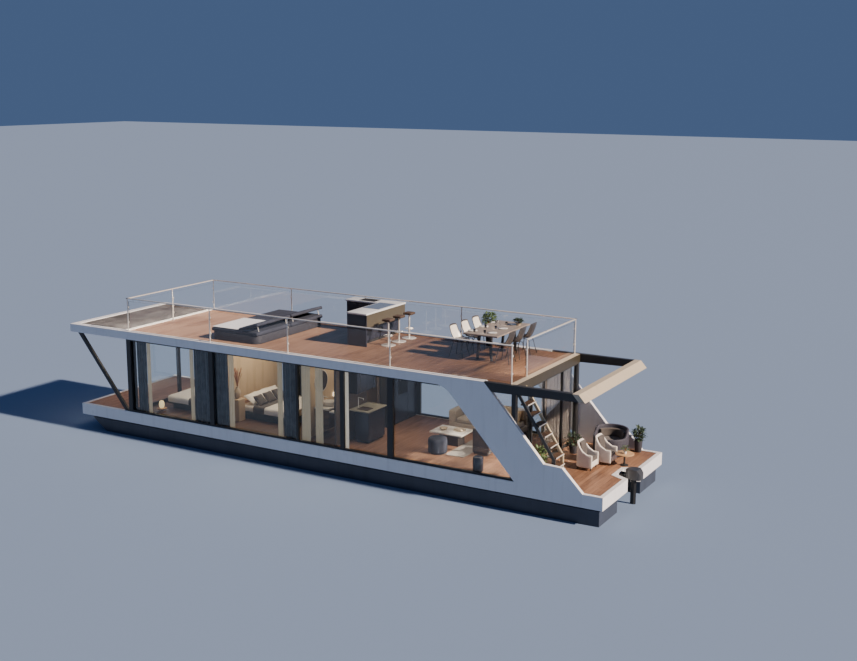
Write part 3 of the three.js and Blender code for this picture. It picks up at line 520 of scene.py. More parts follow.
aft_end, bow_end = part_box("roof_slab")[0].x + 0.18, boards_high.x
half_width = rim_high.y
board_bottom = boards_top - 0.025 + MEMBRANE
one_board = add_block(
    "board",
    (0, 0, board_bottom),
    (ROOF_BOARD["width"], ROOF_BOARD["length"] - ROOF_BOARD["gap"], boards_top),
)
round_edges(one_board, ROOF_BOARD["edge"], 1, lambda middle, along: middle.z > boards_top - 0.001)
board_places = []
for row_number in range(math.ceil((bow_end - aft_end) / ROOF_BOARD["pitch"])):
    x = aft_end + 0.002 + row_number * ROOF_BOARD["pitch"]
    stagger = (row_number % 3) * ROOF_BOARD["length"] / 3
    for column in range(-1, 2):
        board_places.append(Matrix.Translation((x, stagger + (column - 0.6) * ROOF_BOARD["length"], 0)))
roof_deck = repeat("roof_deck", one_board, board_places)
trim(roof_deck, (0, -half_width, 0), (0, -1, 0))
trim(roof_deck, (0, half_width, 0), (0, 1, 0))
trim(roof_deck, (bow_end, 0, 0), (1, 0, 0))
roof_brown = {
    **hardwood, "Light": tint(104, 75, 54), "Dark": tint(68, 46, 32), "Width": ROOF_BOARD["pitch"],
    "Gap": 0.001
}
roof_deck_wood = new_finish("roof_deck_wood", planking, roof_brown, relief=0.4, depth=0.002)
# Painted reflection: paler board colours laid over the roof towards the bow for the low sun's sheen.
bow_reflection_colours = {**roof_brown, "Light": tint(186, 148, 120), "Dark": tint(142, 104, 80)}
lay_over(
    roof_deck_wood,
    planking,
    bow_reflection_colours,
    lambda tree, along: spread(tree, along, aft_end + 2, bow_end - 1, 0, 1),
)
side_boards = []
for side in (-1, 1):
    ends = sorted((side * (half_width + 0.002), side * boards_high.y))
    side_board = add_block(
        "side_board", (aft_end + 0.002, ends[0], board_bottom), (aft_end + 0.64, ends[1], boards_top)
    )
    side_boards.append(round_edges(side_board, ROOF_BOARD["edge"], 1))
roof_deck = weld("roof_deck", [roof_deck, *side_boards])
fit(roof_deck, "deck_wood", "roof_boards", finish=roof_deck_wood)
membrane_black = painted("membrane_black", (30, 30, 32), wear=0.2, gloss=0.8)
membrane = add_block(
    "roof_membrane", (aft_end + 0.002, -half_width, board_bottom - MEMBRANE),
    (bow_end, half_width, board_bottom)
)
round_edges(membrane, 0.001, 1)
fit(membrane, "dark_cabinet", finish=membrane_black)

# Windows, door lights and the rail's panels: clear float glass with a faint cool tint. The sun passes
# straight through it, and its polish is very slightly uneven.


def new_glass(name, colour, roughness):
    """Clear glass that lets lamps shine through it."""
    finish = bpy.data.materials.new(name)
    finish.use_nodes = True
    tree = finish.node_tree
    shader = tree.nodes["Principled BSDF"]
    shader.inputs["Transmission Weight"].default_value = 1.0
    shader.inputs["IOR"].default_value = 1.45
    place = add_node(tree, "TexCoord").outputs["Object"]
    smears = add_node(tree, "TexNoise", {"Vector": place, "Scale": 2.2, "Detail": 4.0})
    tree.links.new(spread(tree, smears.outputs[0], 0.35, 0.7, 0.0, roughness), shader.inputs["Roughness"])
    paler = tuple(min(1.0, c * 1.04) for c in colour[:3]) + (1.0,)
    hue = blend_colours(tree, smears.outputs[0], colour, paler)
    tree.links.new(hue, shader.inputs["Base Color"])
    through = add_node(tree, "BsdfTransparent", {"Color": (0.93, 0.95, 0.96, 1)})
    in_shadow = add_node(tree, "LightPath").outputs["Is Shadow Ray"]
    either = add_node(tree, "MixShader", {0: in_shadow, 1: shader.outputs[0], 2: through.outputs[0]})
    tree.links.new(either.outputs[0], tree.nodes["Material Output"].inputs["Surface"])
    return finish


window_clear = new_glass("window_clear", (0.90, 0.94, 0.95, 1), 0.015)
dress(window_clear, "window_glass_port", "window_glass_starboard", "aft_window_port", "aft_window_starboard")
dress(window_clear, "aft_door_glass", "front_window", "front_door_glass")
dress(new_glass("rail_clear", (0.97, 0.99, 0.99, 1), 0.01), "rail_glass")

# Roof rail: a flat brushed steel handrail on slim posts with round foot plates, open at the stair head. Small
# clamps on the posts hold the glass panels.
RAIL_TUBE = 0.017
RAIL_FLAT = {"half": 0.029, "thick": 0.025}
CLAMP_HEIGHTS = (0.25, 0.70)
CLAMP_HALF = 0.022
STATIONS = (6.1, 9.4, 12.14)
rail_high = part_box("roof_rail")[1]
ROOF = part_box("roof_edge_port")[1].z
rail_aft, rail_bow, rail_side = STERN + 2.56, STERN + 15.27, 1.97
stair_post = 1.10


def add_bar(name, start, end, radius, sides=16):
    """A round bar between two points."""
    bpy.ops.object.select_all(action="DESELECT")
    start, end = Vector(start), Vector(end)
    bpy.ops.mesh.primitive_cylinder_add(vertices=sides, radius=radius, depth=(end - start).length)
    bar = bpy.context.object
    bar.name = name
    bar.location = (start + end) / 2
    bar.rotation_euler = (end - start).to_track_quat("Z", "Y").to_euler()
    bpy.ops.object.transform_apply()
    return bar


def add_disc(name, centre, radius, height, sides=24, edge=0.0):
    """A standing round block on its centre's height, its rims rounded."""
    disc = add_bar(name, centre, (centre[0], centre[1], centre[2] + height), radius, sides)
    if edge:
        round_edges(disc, edge, 2, lambda middle, along: abs(along.z) < 0.01)
    return disc


under_rail = rail_high.z - RAIL_FLAT["thick"]
rail_corners = [
    (rail_aft, stair_post),
    (rail_aft, -rail_side),
    (rail_bow, -rail_side),
    (rail_bow, rail_side),
    (rail_aft, rail_side),
]
rail_pieces = []
for (x0, y0), (x1, y1) in zip(rail_corners, rail_corners[1:]):
    half = Vector((RAIL_FLAT["half"], RAIL_FLAT["half"], 0))
    corner_a = Vector((min(x0, x1), min(y0, y1), under_rail)) - half
    corner_b = Vector((max(x0, x1), max(y0, y1), rail_high.z)) + half
    rail_pieces.append(round_edges(add_block("run", corner_a, corner_b), 0.005, 2))
post_feet = [(rail_aft, stair_post, ROOF), (rail_bow, 0, boards_top)]
for side in (-1, 1):
    post_feet += [(x, side * rail_side, ROOF) for x in (rail_aft, *(STERN + s for s in STATIONS), rail_bow)]
for x, y, foot in post_feet:
    rail_pieces.append(add_bar("post", (x, y, foot), (x, y, under_rail + 0.005), RAIL_TUBE))
    rail_pieces.append(add_disc("foot_plate", (x, y, foot), 0.019, 0.012, 16, 0.003))
    inwards = Vector((0, -math.copysign(CLAMP_HALF, y), 0)) if abs(y) > 1.5 else Vector((CLAMP_HALF, 0, 0))
    if (x, y) == (rail_bow, 0):
        inwards = Vector((-CLAMP_HALF, 0, 0))
    for height in CLAMP_HEIGHTS:
        hold = Vector((x, y, foot + height)) + inwards
        around = Vector((CLAMP_HALF, CLAMP_HALF, CLAMP_HALF))
        rail_pieces.append(round_edges(add_block("clamp", hold - around, hold + around), 0.004, 1))
rail = smooth(weld("roof_rail_tubes", rail_pieces))
rail_steel = grained(
    "rail_steel", (240, 236, 228), (220, 214, 206), 0.30, relief=0.04, depth=0.0005, shine={"Metallic": 0.4}
)
fit(rail, "steel", "roof_rail", finish=rail_steel)

# Stair to the roof: two slender strings that turn upright at the foot, cream to starboard and dark to port,
# and nine dark treads let in between them, each with a thin bright nosing.
STAIR = {"foot": 1.34, "leg": 0.09, "bend": 0.70, "slope": 1.56, "depth": 0.075, "risers": 10}
STRING_SIDES = ((1.42, 1.455), (1.925, 1.96))


def add_plate(name, outline, plane, near, far):
    """A flat plate with this outline, from near to far along the axis that the plane leaves over."""
    bpy.ops.object.select_all(action="DESELECT")
    bpy.ops.mesh.primitive_circle_add(vertices=len(outline), radius=1, fill_type="NGON")
    plate = bpy.context.object
    plate.name = name
    axis = "xyz".index(({"x", "y", "z"} - set(plane)).pop())
    shift = Vector((0, 0, 0))
    shift[axis] = far - near
    for corner, place in zip(plate.data.vertices, outline):
        spot = Vector((0, 0, 0))
        spot["xyz".index(plane[0])] = place[0]
        spot["xyz".index(plane[1])] = place[1]
        spot[axis] = near
        corner.co = spot
    bpy.ops.object.mode_set(mode="EDIT")
    bpy.ops.mesh.select_all(action="SELECT")
    bpy.ops.mesh.extrude_region_move(TRANSFORM_OT_translate={"value": shift})
    bpy.ops.mesh.select_all(action="SELECT")
    bpy.ops.mesh.normals_make_consistent(inside=False)
    bpy.ops.object.mode_set(mode="OBJECT")
    return plate


deck_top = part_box("deck_boards")[1].z


def on_deck(x, y, z=0.0):
    """A place at a height over the deck boards."""
    return at(x, y, deck_top + z)


stair_middle = STAIR["foot"] + 0.054
stair_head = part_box("stair")[1].x


def string_line(x):
    """Height of the strings' middle line at a place from the stern."""
    return deck_top + STAIR["bend"] + (x - stair_middle) * STAIR["slope"]


leg_fore = STAIR["foot"] + STAIR["leg"]
head = stair_head - STERN
string_outline = [
    (STERN + STAIR["foot"], deck_top),
    (STERN + leg_fore, deck_top),
    (STERN + leg_fore, string_line(leg_fore) - STAIR["depth"]),
    (stair_head, string_line(head) - STAIR["depth"]),
    (stair_head, string_line(head) + STAIR["depth"]),
    (STERN + STAIR["foot"], string_line(STAIR["foot"]) + STAIR["depth"]),
]
strings = [add_plate("string", string_outline, "xz", *sides) for sides in STRING_SIDES]
for string in strings:
    round_edges(string, 0.004, 2)
string_cream = painted("string_cream", (222, 204, 168), (150, 132, 100), gloss=0.45)
for string, side_name, finish in zip(strings, ("starboard", "port"), (string_cream, frame_black)):
    string.name = "stair_string_" + side_name
    fit(smooth(string), "cream_paint", "stair", finish=finish)
rise = (ROOF - deck_top) / STAIR["risers"]
treads, nosings = [], []
for step in range(1, STAIR["risers"]):
    z = deck_top + step * rise
    x = max(stair_middle, stair_middle + (z - deck_top - STAIR["bend"]) / STAIR["slope"])
    fore = min(STERN + x + 0.11, stair_head)
    tread = add_block("tread", at(x - 0.09, 1.4555, z - 0.036), (fore, 1.9245, z))
    treads.append(round_edges(tread, 0.005, 2))
    nosing = add_block("nosing", at(x - 0.10, 1.4555, z - 0.03), at(x - 0.091, 1.9245, z - 0.002))
    nosings.append(round_edges(nosing, 0.002, 1))
tread_dark = grained("tread_dark", (92, 70, 54), (52, 38, 30), 0.5, relief=0.4)
fit(weld("stair_treads", treads), "cream_paint", "stair", finish=tread_dark)
fit(weld("stair_nosings", nosings), "steel", "stair", finish=rail_steel)

# Partitions: warm matt wall panels, taupe in the galley. The middle one carries the washstand, so it is built
# anew with its doorway, and the ceiling has small round lamps let into it.
wall_warm = painted("wall_warm", (206, 182, 148), (160, 136, 100), 0.8, 0.7, relief=0.15)
dress(wall_warm, "partition_bow")
dress(painted("wall_taupe", (98, 86, 76), (74, 64, 56), 0.6, 0.6), "partition_galley")
PARTITION_DOORWAY = {"starboard": -0.70, "port": 0.08, "top": 3.28}
WALL_ENDS = (-2.001, 1.851)
middle_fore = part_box("partition_middle")[1].x
middle_aft = middle_fore - 0.06
wall_outline = [
    (WALL_ENDS[0], deck_top),
    (PARTITION_DOORWAY["starboard"], deck_top),
    (PARTITION_DOORWAY["starboard"], PARTITION_DOORWAY["top"]),
    (PARTITION_DOORWAY["port"], PARTITION_DOORWAY["top"]),
    (PARTITION_DOORWAY["port"], deck_top),
    (WALL_ENDS[1], deck_top),
    (WALL_ENDS[1], CEILING),
    (WALL_ENDS[0], CEILING),
]
middle_wall = round_edges(add_plate("middle_wall", wall_outline, "yz", middle_aft, middle_fore), 0.003, 1)
fit(middle_wall, "wall_panel", "partition_middle", finish=wall_warm)

CEILING_LAMPS = [(3.6, -1.2), (3.6, 0.6), (5.2, -1.2), (5.2, 0.6), (6.7, -0.4), (8.4, -1.0), (8.4, 0.9)]
CEILING_LAMPS += [
    (9.8, -1.1), (9.8, 1.0), (11.3, -1.1), (11.3, 1.0), (12.9, -1.1), (12.9, 1.0), (14.4, -1.1), (14.4, 1.0)
]
rims, glows = [], []
for x, y in CEILING_LAMPS:
    rims.append(add_disc("rim", at(x, y, CEILING - 0.008), 0.055, 0.007, 24, 0.002))
    glows.append(add_disc("glow", at(x, y, CEILING - 0.011), 0.038, 0.0035, 20, 0.001))
fit(smooth(weld("ceiling_lamp_rims", rims)), "steel", finish=rail_steel)
lamp_glow = painted(
    "lamp_glow", (255, 240, 214), (255, 226, 186), gloss=0.4,
    shine={"Emission Color": (1.0, 0.80, 0.55, 1), "Emission Strength": 2.0}
)
fit(weld("ceiling_lamp_glows", glows), "wall_panel", finish=lamp_glow)

# Curtains: slate blackout cloth gathered in deep pleats beside the port mullions on one ceiling track, a
# strip of pale sheer next to each that glows faintly with painted lamplight, a white panel by the galley that
# glows the same way, and a wide sheer drawn behind the aft wall, painted dark as painted shade. The weave
# group crosses two sets of threads.
weave, given, made = new_group(
    "weave",
    [
        ("Warp", "Color", tint(200, 196, 188)),
        ("Weft", "Color", tint(180, 176, 168)),
        ("Thread", "Float", 0.004),
        ("Mottle", "Float", 0.5),
    ],
)
cloth_parts = add_node(weave, "SeparateXYZ", {0: given["Position"]})
across = work_out(weave, "MULTIPLY_ADD", cloth_parts.outputs[1], 0.6)
weave.links.new(cloth_parts.outputs[0], across.node.inputs[2])
upright_way = work_out(weave, "MULTIPLY_ADD", cloth_parts.outputs[1], 0.8)
weave.links.new(cloth_parts.outputs[2], upright_way.node.inputs[2])
turns = work_out(weave, "DIVIDE", 2 * math.pi, given["Thread"])
warp_wave = work_out(weave, "SINE", work_out(weave, "MULTIPLY", across, turns))
weft_wave = work_out(weave, "SINE", work_out(weave, "MULTIPLY", upright_way, turns))
crossing = spread(weave, work_out(weave, "MULTIPLY", warp_wave, weft_wave), -1, 1, 0, 1)
slubs = add_node(weave, "TexNoise", {"Vector": given["Position"], "Scale": 5.0, "Detail": 6.0})
slub_share = work_out(
    weave, "MULTIPLY", spread(weave, slubs.outputs[0], 0.3, 0.7, -0.5, 0.5), given["Mottle"]
)
cloth_share = work_out(weave, "ADD", crossing, slub_share)
weave.links.new(blend_colours(weave, cloth_share, given["Warp"], given["Weft"]), made["Colour"])
weave.links.new(spread(weave, slubs.outputs[0], 0.2, 0.8, 0.75, 0.95), made["Roughness"])
weave.links.new(crossing, made["Height"])


def woven(name, warp, weft, thread=0.004, mottle=0.5, sheen=0.0, shine=None, **more):
    """A finish of cloth."""
    values = {"Warp": tint(*warp), "Weft": tint(*weft), "Thread": thread, "Mottle": mottle}
    return new_finish(name, weave, values, shine={"Sheen Weight": sheen, **(shine or {})}, **more)


slate_drape = woven("slate_drape", (92, 104, 112), (58, 68, 76), mottle=0.8, relief=0.3, sheen=0.3)
# The pale sheers glow faintly: painted lamplight shining through the cloth from the rooms.
sheer_pale = woven(
    "sheer_pale", (240, 232, 208), (222, 210, 180), relief=0.2,
    shine={
        "Alpha": 0.72, "Sheen Weight": 0.2, "Emission Color": (1.0, 0.86, 0.66, 1), "Emission Strength": 0.09
    }
)
# The aft sheer's colours are painted shade: much darker than the cloth, so that it reads dim behind the
# glass.
sheer_painted_shade = woven(
    "sheer_painted_shade", (76, 66, 60), (60, 51, 46), relief=0.2, shine={"Alpha": 0.93, "Sheen Weight": 0.2}
)
# The galley panel glows too: painted light standing for the lamps behind the cloth.
panel_white = woven(
    "panel_white", (250, 248, 242), (240, 236, 226), mottle=0.3, relief=0.2,
    shine={"Sheen Weight": 0.2, "Emission Color": (1.0, 0.90, 0.76, 1), "Emission Strength": 0.22}
)
CLOTH = 0.003
CURTAIN_FOOT = deck_top + 0.02
CURTAIN_TOP = CEILING - 0.03


def add_grid(name, columns, rows, size=2):
    """A flat grid at the origin, to be bent into shape."""
    bpy.ops.object.select_all(action="DESELECT")
    bpy.ops.mesh.primitive_grid_add(x_subdivisions=columns, y_subdivisions=rows, size=size)
    grid = bpy.context.object
    grid.name = name
    return grid


def add_pleats(name, start, end, pleat, depth, seed):
    """A hung curtain between two points on plan: pleats tight at the heading that open towards the hem."""
    chance = random.Random(seed)
    start, end = Vector((*start, 0)), Vector((*end, 0))
    width = (end - start).length
    out = Vector((0, 0, 1)).cross((end - start).normalized())
    pleats = max(2, round(width / pleat))
    cloth = add_grid(name, pleats * 10, 14)
    lean = [chance.uniform(-0.5, 0.5) for _ in range(pleats + 1)]
    flat_width = 0.0
    before = None
    for corner in cloth.data.vertices:
        share, drop = (corner.co.x + 1) / 2, (1 - corner.co.y) / 2
        here = share * pleats
        swing = depth * (0.75 + 0.25 * drop)
        wave = math.sin(2 * math.pi * here + lean[min(pleats, int(here + 0.5))] * drop * 0.8)
        snug = 0.86 + 0.14 * math.cos(2 * math.pi * here * 0.5 + seed)
        spot = start + (end - start) * share + out * wave * swing * snug
        spot.z = CURTAIN_TOP + (CURTAIN_FOOT - CURTAIN_TOP) * drop
        corner.co = spot
        if drop < 0.001:
            flat_width += (spot - before).length if before else 0
            before = spot
    apply_modifier(cloth, "SOLIDIFY", thickness=CLOTH, offset=0)
    smooth(cloth, 80)
    return cloth, flat_width


CURTAIN_LINE = 1.905
CURTAINS = [
    # name, aft end and fore end from the stern, pleat, depth, finish, slot
    ("drape_middle", 9.13, 9.63, 0.16, 0.045, slate_drape, "slate_fabric"),
    ("drape_bedrooms", 11.57, 12.83, 0.17, 0.045, slate_drape, "slate_fabric"),
    ("drape_bow", 14.65, 15.038, 0.16, 0.045, slate_drape, "slate_fabric"),
    ("sheer_middle", 9.65, 9.82, 0.06, 0.030, sheer_pale, "linen"),
    ("sheer_bedroom_aft", 11.36, 11.55, 0.06, 0.030, sheer_pale, "linen"),
    ("sheer_bedroom_fore", 12.85, 12.99, 0.06, 0.030, sheer_pale, "linen"),
    ("sheer_bow", 14.50, 14.64, 0.06, 0.030, sheer_pale, "linen"),
    ("sheer_washroom_aft", 8.29, 8.54, 0.06, 0.030, sheer_pale, "linen"),
    ("sheer_washroom_fore", 8.71, 9.00, 0.06, 0.030, sheer_pale, "linen"),
    ("panel_galley", 7.45, 7.61, 0.06, 0.030, panel_white, "linen"),
]
track_low = CEILING - 0.03
port_track = add_block("curtain_track", at(7.34, 1.883, track_low), at(15.04, 1.909, CEILING))
aft_track = add_block("curtain_track_aft", at(2.63, -1.96, track_low), at(2.66, -0.06, CEILING))
for track in (port_track, aft_track):
    round_edges(track, 0.004, 1)
    fit(track, "steel", finish=rail_steel)
for number, (name, aft, fore, pleat, depth, finish, slot) in enumerate(CURTAINS):
    ends = (STERN + fore, CURTAIN_LINE), (STERN + aft, CURTAIN_LINE)
    drape, flat_width = add_pleats(name, *ends, pleat, depth, number)
    stands_for = ("curtains_port",) if slot == "slate_fabric" else ()
    fit(drape, slot, *stands_for, finish=finish)
drape, flat_width = add_pleats("sheer_aft", (STERN + 2.645, -0.07), (STERN + 2.645, -1.95), 0.11, 0.038, 11)
fit(drape, "linen", "curtain_aft", finish=sheer_painted_shade)

# Beds: a recessed plinth, a box base, a crowned mattress, a duvet that hangs over the sides, a folded throw,
# and pillows blown up by cloth simulation. The bow bed has a high headboard in channels, the other a low one.
linen_white = woven("linen_white", (244, 240, 232), (226, 220, 210), mottle=0.4, relief=0.25, sheen=0.25)
linen_sand = woven("linen_sand", (214, 198, 172), (188, 170, 144), mottle=0.5, relief=0.3, sheen=0.25)
throw_dark = woven("throw_dark", (86, 78, 72), (56, 50, 48), 0.008, relief=0.6, sheen=0.3)
base_slate = woven("base_slate", (84, 92, 88), (60, 68, 66), 0.006, relief=0.3)
cabin_oak = grained("cabin_oak", (196, 156, 112), (150, 108, 70), 0.45, relief=0.3)


def add_pad(name, low, high, radius, crown, cells=12):
    """A mattress or seat pad: square sides with round edges, and a top that swells to the middle."""
    low, high = Vector(low), Vector(high)
    size, middle = high - low, (low + high) / 2
    columns, rows = (max(4, round(cells * side / max(size.x, size.y))) for side in (size.x, size.y))
    pad = add_grid(name, columns, rows, 1)
    pad.location = (middle.x, middle.y, high.z - crown)
    pad.scale = (size.x, size.y, 1)
    bpy.ops.object.transform_apply()
    apply_modifier(pad, "SOLIDIFY", thickness=size.z - crown, offset=-1)
    apply_modifier(pad, "BEVEL", width=radius, segments=4, limit_method="ANGLE", angle_limit=math.radians(60))
    for corner in pad.data.vertices:
        across_x = abs(corner.co.x - middle.x) / (size.x / 2)
        across_y = abs(corner.co.y - middle.y) / (size.y / 2)
        height = max(0.0, (corner.co.z - low.z) / max(0.001, size.z - crown))
        swell = (1 - across_x**4) * (1 - across_y**4)
        corner.co.z += crown * swell * height**2
        waist = 1 - 0.012 * math.sin(math.pi * min(1.0, height)) * (1 - min(across_x, across_y) ** 2)
        corner.co.x = middle.x + (corner.co.x - middle.x) * waist
        corner.co.y = middle.y + (corner.co.y - middle.y) * waist
    return smooth(pad, 60)


def swell_up(pad, voxel, cap):
    """Blows a pad up a little by cloth simulation, as stuffing does, and smooths it."""
    apply_modifier(pad, "REMESH", mode="VOXEL", voxel_size=voxel)
    before = [corner.co.copy() for corner in pad.data.vertices]
    cloth = pad.modifiers.new("Cloth", "CLOTH")
    cloth.settings.use_pressure = True
    cloth.settings.uniform_pressure_force = 4
    cloth.settings.effector_weights.gravity = 0
    for moment in range(1, 21):
        bpy.context.scene.frame_set(moment)
    pick(pad)
    bpy.ops.object.modifier_apply(modifier=cloth.name)
    bpy.context.scene.frame_set(1)
    for corner, start in zip(pad.data.vertices, before):
        moved = corner.co - start
        if moved.length > cap:
            corner.co = start + moved.normalized() * cap
    apply_modifier(pad, "SUBSURF", levels=1, render_levels=1)
    return smooth(pad, 80)


def add_pillow(name, length, width, thickness):
    """A pillow lying flat at the origin: full in the middle, with sides drawn in between its corners."""
    bpy.ops.object.select_all(action="DESELECT")
    bpy.ops.mesh.primitive_cube_add(size=2)
    pillow = bpy.context.object
    pillow.name = name
    bpy.ops.object.mode_set(mode="EDIT")
    bpy.ops.mesh.subdivide(number_cuts=11)
    bpy.ops.object.mode_set(mode="OBJECT")
    for corner in pillow.data.vertices:
        a, b, c = corner.co
        fullness = max(0.0, (1 - abs(a) ** 2.6) * (1 - abs(b) ** 2.6)) ** 0.5
        drawn = 0.07
        x = a * (1 - drawn * (1 - b * b)) * length / 2
        y = b * (1 - drawn * (1 - a * a)) * width / 2
        corner.co = (x, y, c * (0.08 + 0.92 * fullness) * thickness / 2)
    return pillow


def copy_at(model, name, matrix):
    """A copy of the model with its own mesh, put in place."""
    twin = model.copy()
    twin.data = model.data.copy()
    twin.name = name
    bpy.context.collection.objects.link(twin)
    twin.data.transform(matrix)
    return twin


def put(x, y, z, turn=0.0, tip=0.0):
    """A place for a copy, from the stern, the centreline and a height: tipped up, then turned on plan."""
    return (
        Matrix.Translation(at(x, y, z))
        @ Matrix.Rotation(math.radians(turn), 4, "Z")
        @ Matrix.Rotation(math.radians(tip), 4, "Y")
    )


pillow_model = swell_up(add_pillow("pillow_model", 0.46, 0.66, 0.13), 0.016, 0.012)
cushion_model = swell_up(add_pillow("cushion_model", 0.42, 0.42, 0.12), 0.014, 0.012)


def add_cover(name, low, high, hang, folds, seed):
    """A duvet or throw laid over a block: flat with soft waves on top, hanging down two sides in folds."""
    chance = random.Random(seed)
    low, high = Vector(low), Vector(high)
    cover = add_grid(name, 28, 44)
    waves = [(chance.uniform(2, 7), chance.uniform(0, 6), chance.uniform(2, 7)) for _ in range(4)]
    width = high.y - low.y
    reach = width / 2 + hang
    bend = 0.035
    for corner in cover.data.vertices:
        along_bed = low.x + (corner.co.x + 1) / 2 * (high.x - low.x)
        run = corner.co.y * reach
        side = math.copysign(1, run)
        over = abs(run) - width / 2
        ripple = sum(math.sin(a * along_bed * 2 + b + c * run) for a, b, c in waves) / 4
        if over < 0:
            spot = (along_bed, (low.y + high.y) / 2 + run, high.z + folds * 0.35 * (1 + ripple))
        else:
            out = folds * (0.6 + 0.9 * math.sin(along_bed * 9 + side + ripple)) * min(1, over / bend)
            turn = min(over, bend)
            spot = (
                along_bed, (low.y + high.y) / 2 + side * (width / 2 + turn * 0.5 + abs(out)), high.z - over
            )
        corner.co = spot
    apply_modifier(cover, "SOLIDIFY", thickness=0.012, offset=1)
    apply_modifier(cover, "SUBSURF", levels=1, render_levels=1)
    return smooth(cover, 80)


BEDS = [
    # node, aft end, fore end, starboard side, port side, base foot, mattress top, headboard's aft and fore
    # faces and its height
    ("bed_bow", 12.205, 14.545, -0.64, 1.19, 0.16, 0.38, 12.102, 12.200, 1.0),
    ("bed_middle", 10.005, 11.935, -0.64, 0.99, 0.15, 0.42, 11.940, 12.038, 0.48),
]
for node, aft, fore, starboard, port, foot, top, head_aft, head_fore, head_top in BEDS:
    head_at_bow = head_aft > aft
    base_top = deck_top + foot + (top - foot) * 0.35
    base = add_block(node + "_base", on_deck(aft, starboard, foot), at(fore, port, base_top))
    round_edges(base, 0.012, 2)
    plinth = add_block(
        node + "_plinth", on_deck(aft + 0.12, starboard + 0.1), on_deck(fore - 0.12, port - 0.1, foot)
    )
    round_edges(plinth, 0.006, 1)
    fit(weld(node + "_base", [base, plinth]), "slate_fabric", node, finish=base_slate)
    mattress = add_pad(
        node + "_mattress",
        at(aft + 0.01, starboard + 0.015, base_top),
        on_deck(fore - 0.01, port - 0.015, top),
        0.045,
        0.015,
    )
    fit(mattress, "linen", node, finish=linen_white)
    cover_aft, cover_fore = (aft + 0.02, fore - 0.55) if head_at_bow else (aft + 0.55, fore - 0.02)
    cover = add_cover(
        node + "_duvet",
        on_deck(cover_aft, starboard + 0.01),
        on_deck(cover_fore, port - 0.01, top + 0.004),
        0.17,
        0.012,
        5,
    )
    fit(cover, "linen", node, finish=linen_white)
    throw_middle = (cover_aft + cover_fore) / 2 + (0.50 if head_at_bow else -0.15)
    blanket = add_cover(
        node + "_throw",
        on_deck(throw_middle - 0.20, starboard - 0.005),
        on_deck(throw_middle + 0.20, port + 0.005, top + 0.022),
        0.20,
        0.012,
        8,
    )
    fit(blanket, "slate_fabric", node, finish=throw_dark)
    headboard = add_block(
        node + "_headboard",
        on_deck(head_aft, starboard - 0.05),
        on_deck(head_fore, port + 0.05, head_top),
    )
    choose_faces(headboard, lambda middle, normal: abs(normal.x) > 0.9)
    bpy.ops.mesh.inset(thickness=0.03, depth=-0.012)
    bpy.ops.object.mode_set(mode="OBJECT")
    round_edges(headboard, 0.008, 2)
    fit(headboard, "cabin_oak", node, finish=cabin_oak)
    if not head_at_bow:
        channels = []
        channel_width = (port - starboard) / 6
        for number in range(6):
            low = on_deck(head_fore - 0.014, starboard + number * channel_width + 0.006, top + 0.02)
            high = on_deck(head_fore - 0.001, low[1] + channel_width - 0.012, head_top - 0.035)
            channels.append(add_pad("channel", low, high, 0.006, 0.002, 6))
        padding = weld(node + "_headboard_padding", channels)
        fit(padding, "linen", node, finish=linen_sand)
    pillow_x = fore - 0.27 if head_at_bow else aft + 0.27
    back_way, tip = (-1, -34) if head_at_bow else (1, 24)
    for number, y in enumerate((starboard + 0.38, (starboard + port) / 2, port - 0.38)):
        place = put(pillow_x, y, deck_top + top + 0.15, turn=(number - 1) * 6, tip=tip)
        pillow = copy_at(pillow_model, f"{node}_pillow_{number}", place)
        fit(pillow, "linen", node, finish=linen_white)
        place = put(
            pillow_x + back_way * 0.32, y + 0.12, deck_top + top + 0.155, tip=-46 if head_at_bow else 52
        )
        scatter = copy_at(cushion_model, f"{node}_cushion_{number}", place)
        fit(scatter, "linen", node, finish=throw_dark if head_at_bow else linen_sand)

# Bedside pieces: a ceramic vase with dry twigs on a ledge at the head of the middle cabin's bed, and a small
# paper lantern on a round table at the foot of the bow bed.


def add_turned(name, place, outline, sides=32):
    """A piece turned on a lathe: the outline's radii and heights swept round a standing axis."""
    x, y, z = place
    bpy.ops.object.select_all(action="DESELECT")
    bpy.ops.mesh.primitive_circle_add(
        vertices=sides, radius=outline[0][0], fill_type="NGON", location=(x, y, z + outline[0][1])
    )
    turned = bpy.context.object
    turned.name = name
    bpy.ops.object.mode_set(mode="EDIT")
    bpy.ops.mesh.select_mode(type="FACE")
    bpy.ops.mesh.select_all(action="SELECT")
    centre = (x, y, z)
    for (radius, height), (next_radius, next_height) in zip(outline, outline[1:]):
        bpy.ops.mesh.extrude_region_move(TRANSFORM_OT_translate={"value": (0, 0, next_height - height)})
        share = next_radius / radius
        bpy.ops.transform.resize(value=(share, share, 1), center_override=centre)
    bpy.ops.mesh.select_all(action="SELECT")
    bpy.ops.mesh.normals_make_consistent(inside=False)
    bpy.ops.object.mode_set(mode="OBJECT")
    bpy.ops.object.transform_apply()
    return turned


def add_stems(name, foot, count, height, spread_out, seed, radius=0.0035):
    """Thin bent twigs that rise from one place and part."""
    chance = random.Random(seed)
    twigs = []
    for _ in range(count):
        heading = chance.uniform(0, 2 * math.pi)
        reach = chance.uniform(0.3, 1.0) * spread_out
        tall = height * chance.uniform(0.7, 1.0)
        outwards = Vector((math.cos(heading), math.sin(heading), 0))
        spots = [
            Vector(foot) + outwards * reach * (share**1.6) + Vector((0, 0, tall * share))
            for share in (0, 0.35, 0.7, 1)
        ]
        for start, end in zip(spots, spots[1:]):
            twigs.append(add_bar("twig", start, end, radius, 6))
    return weld(name, twigs)


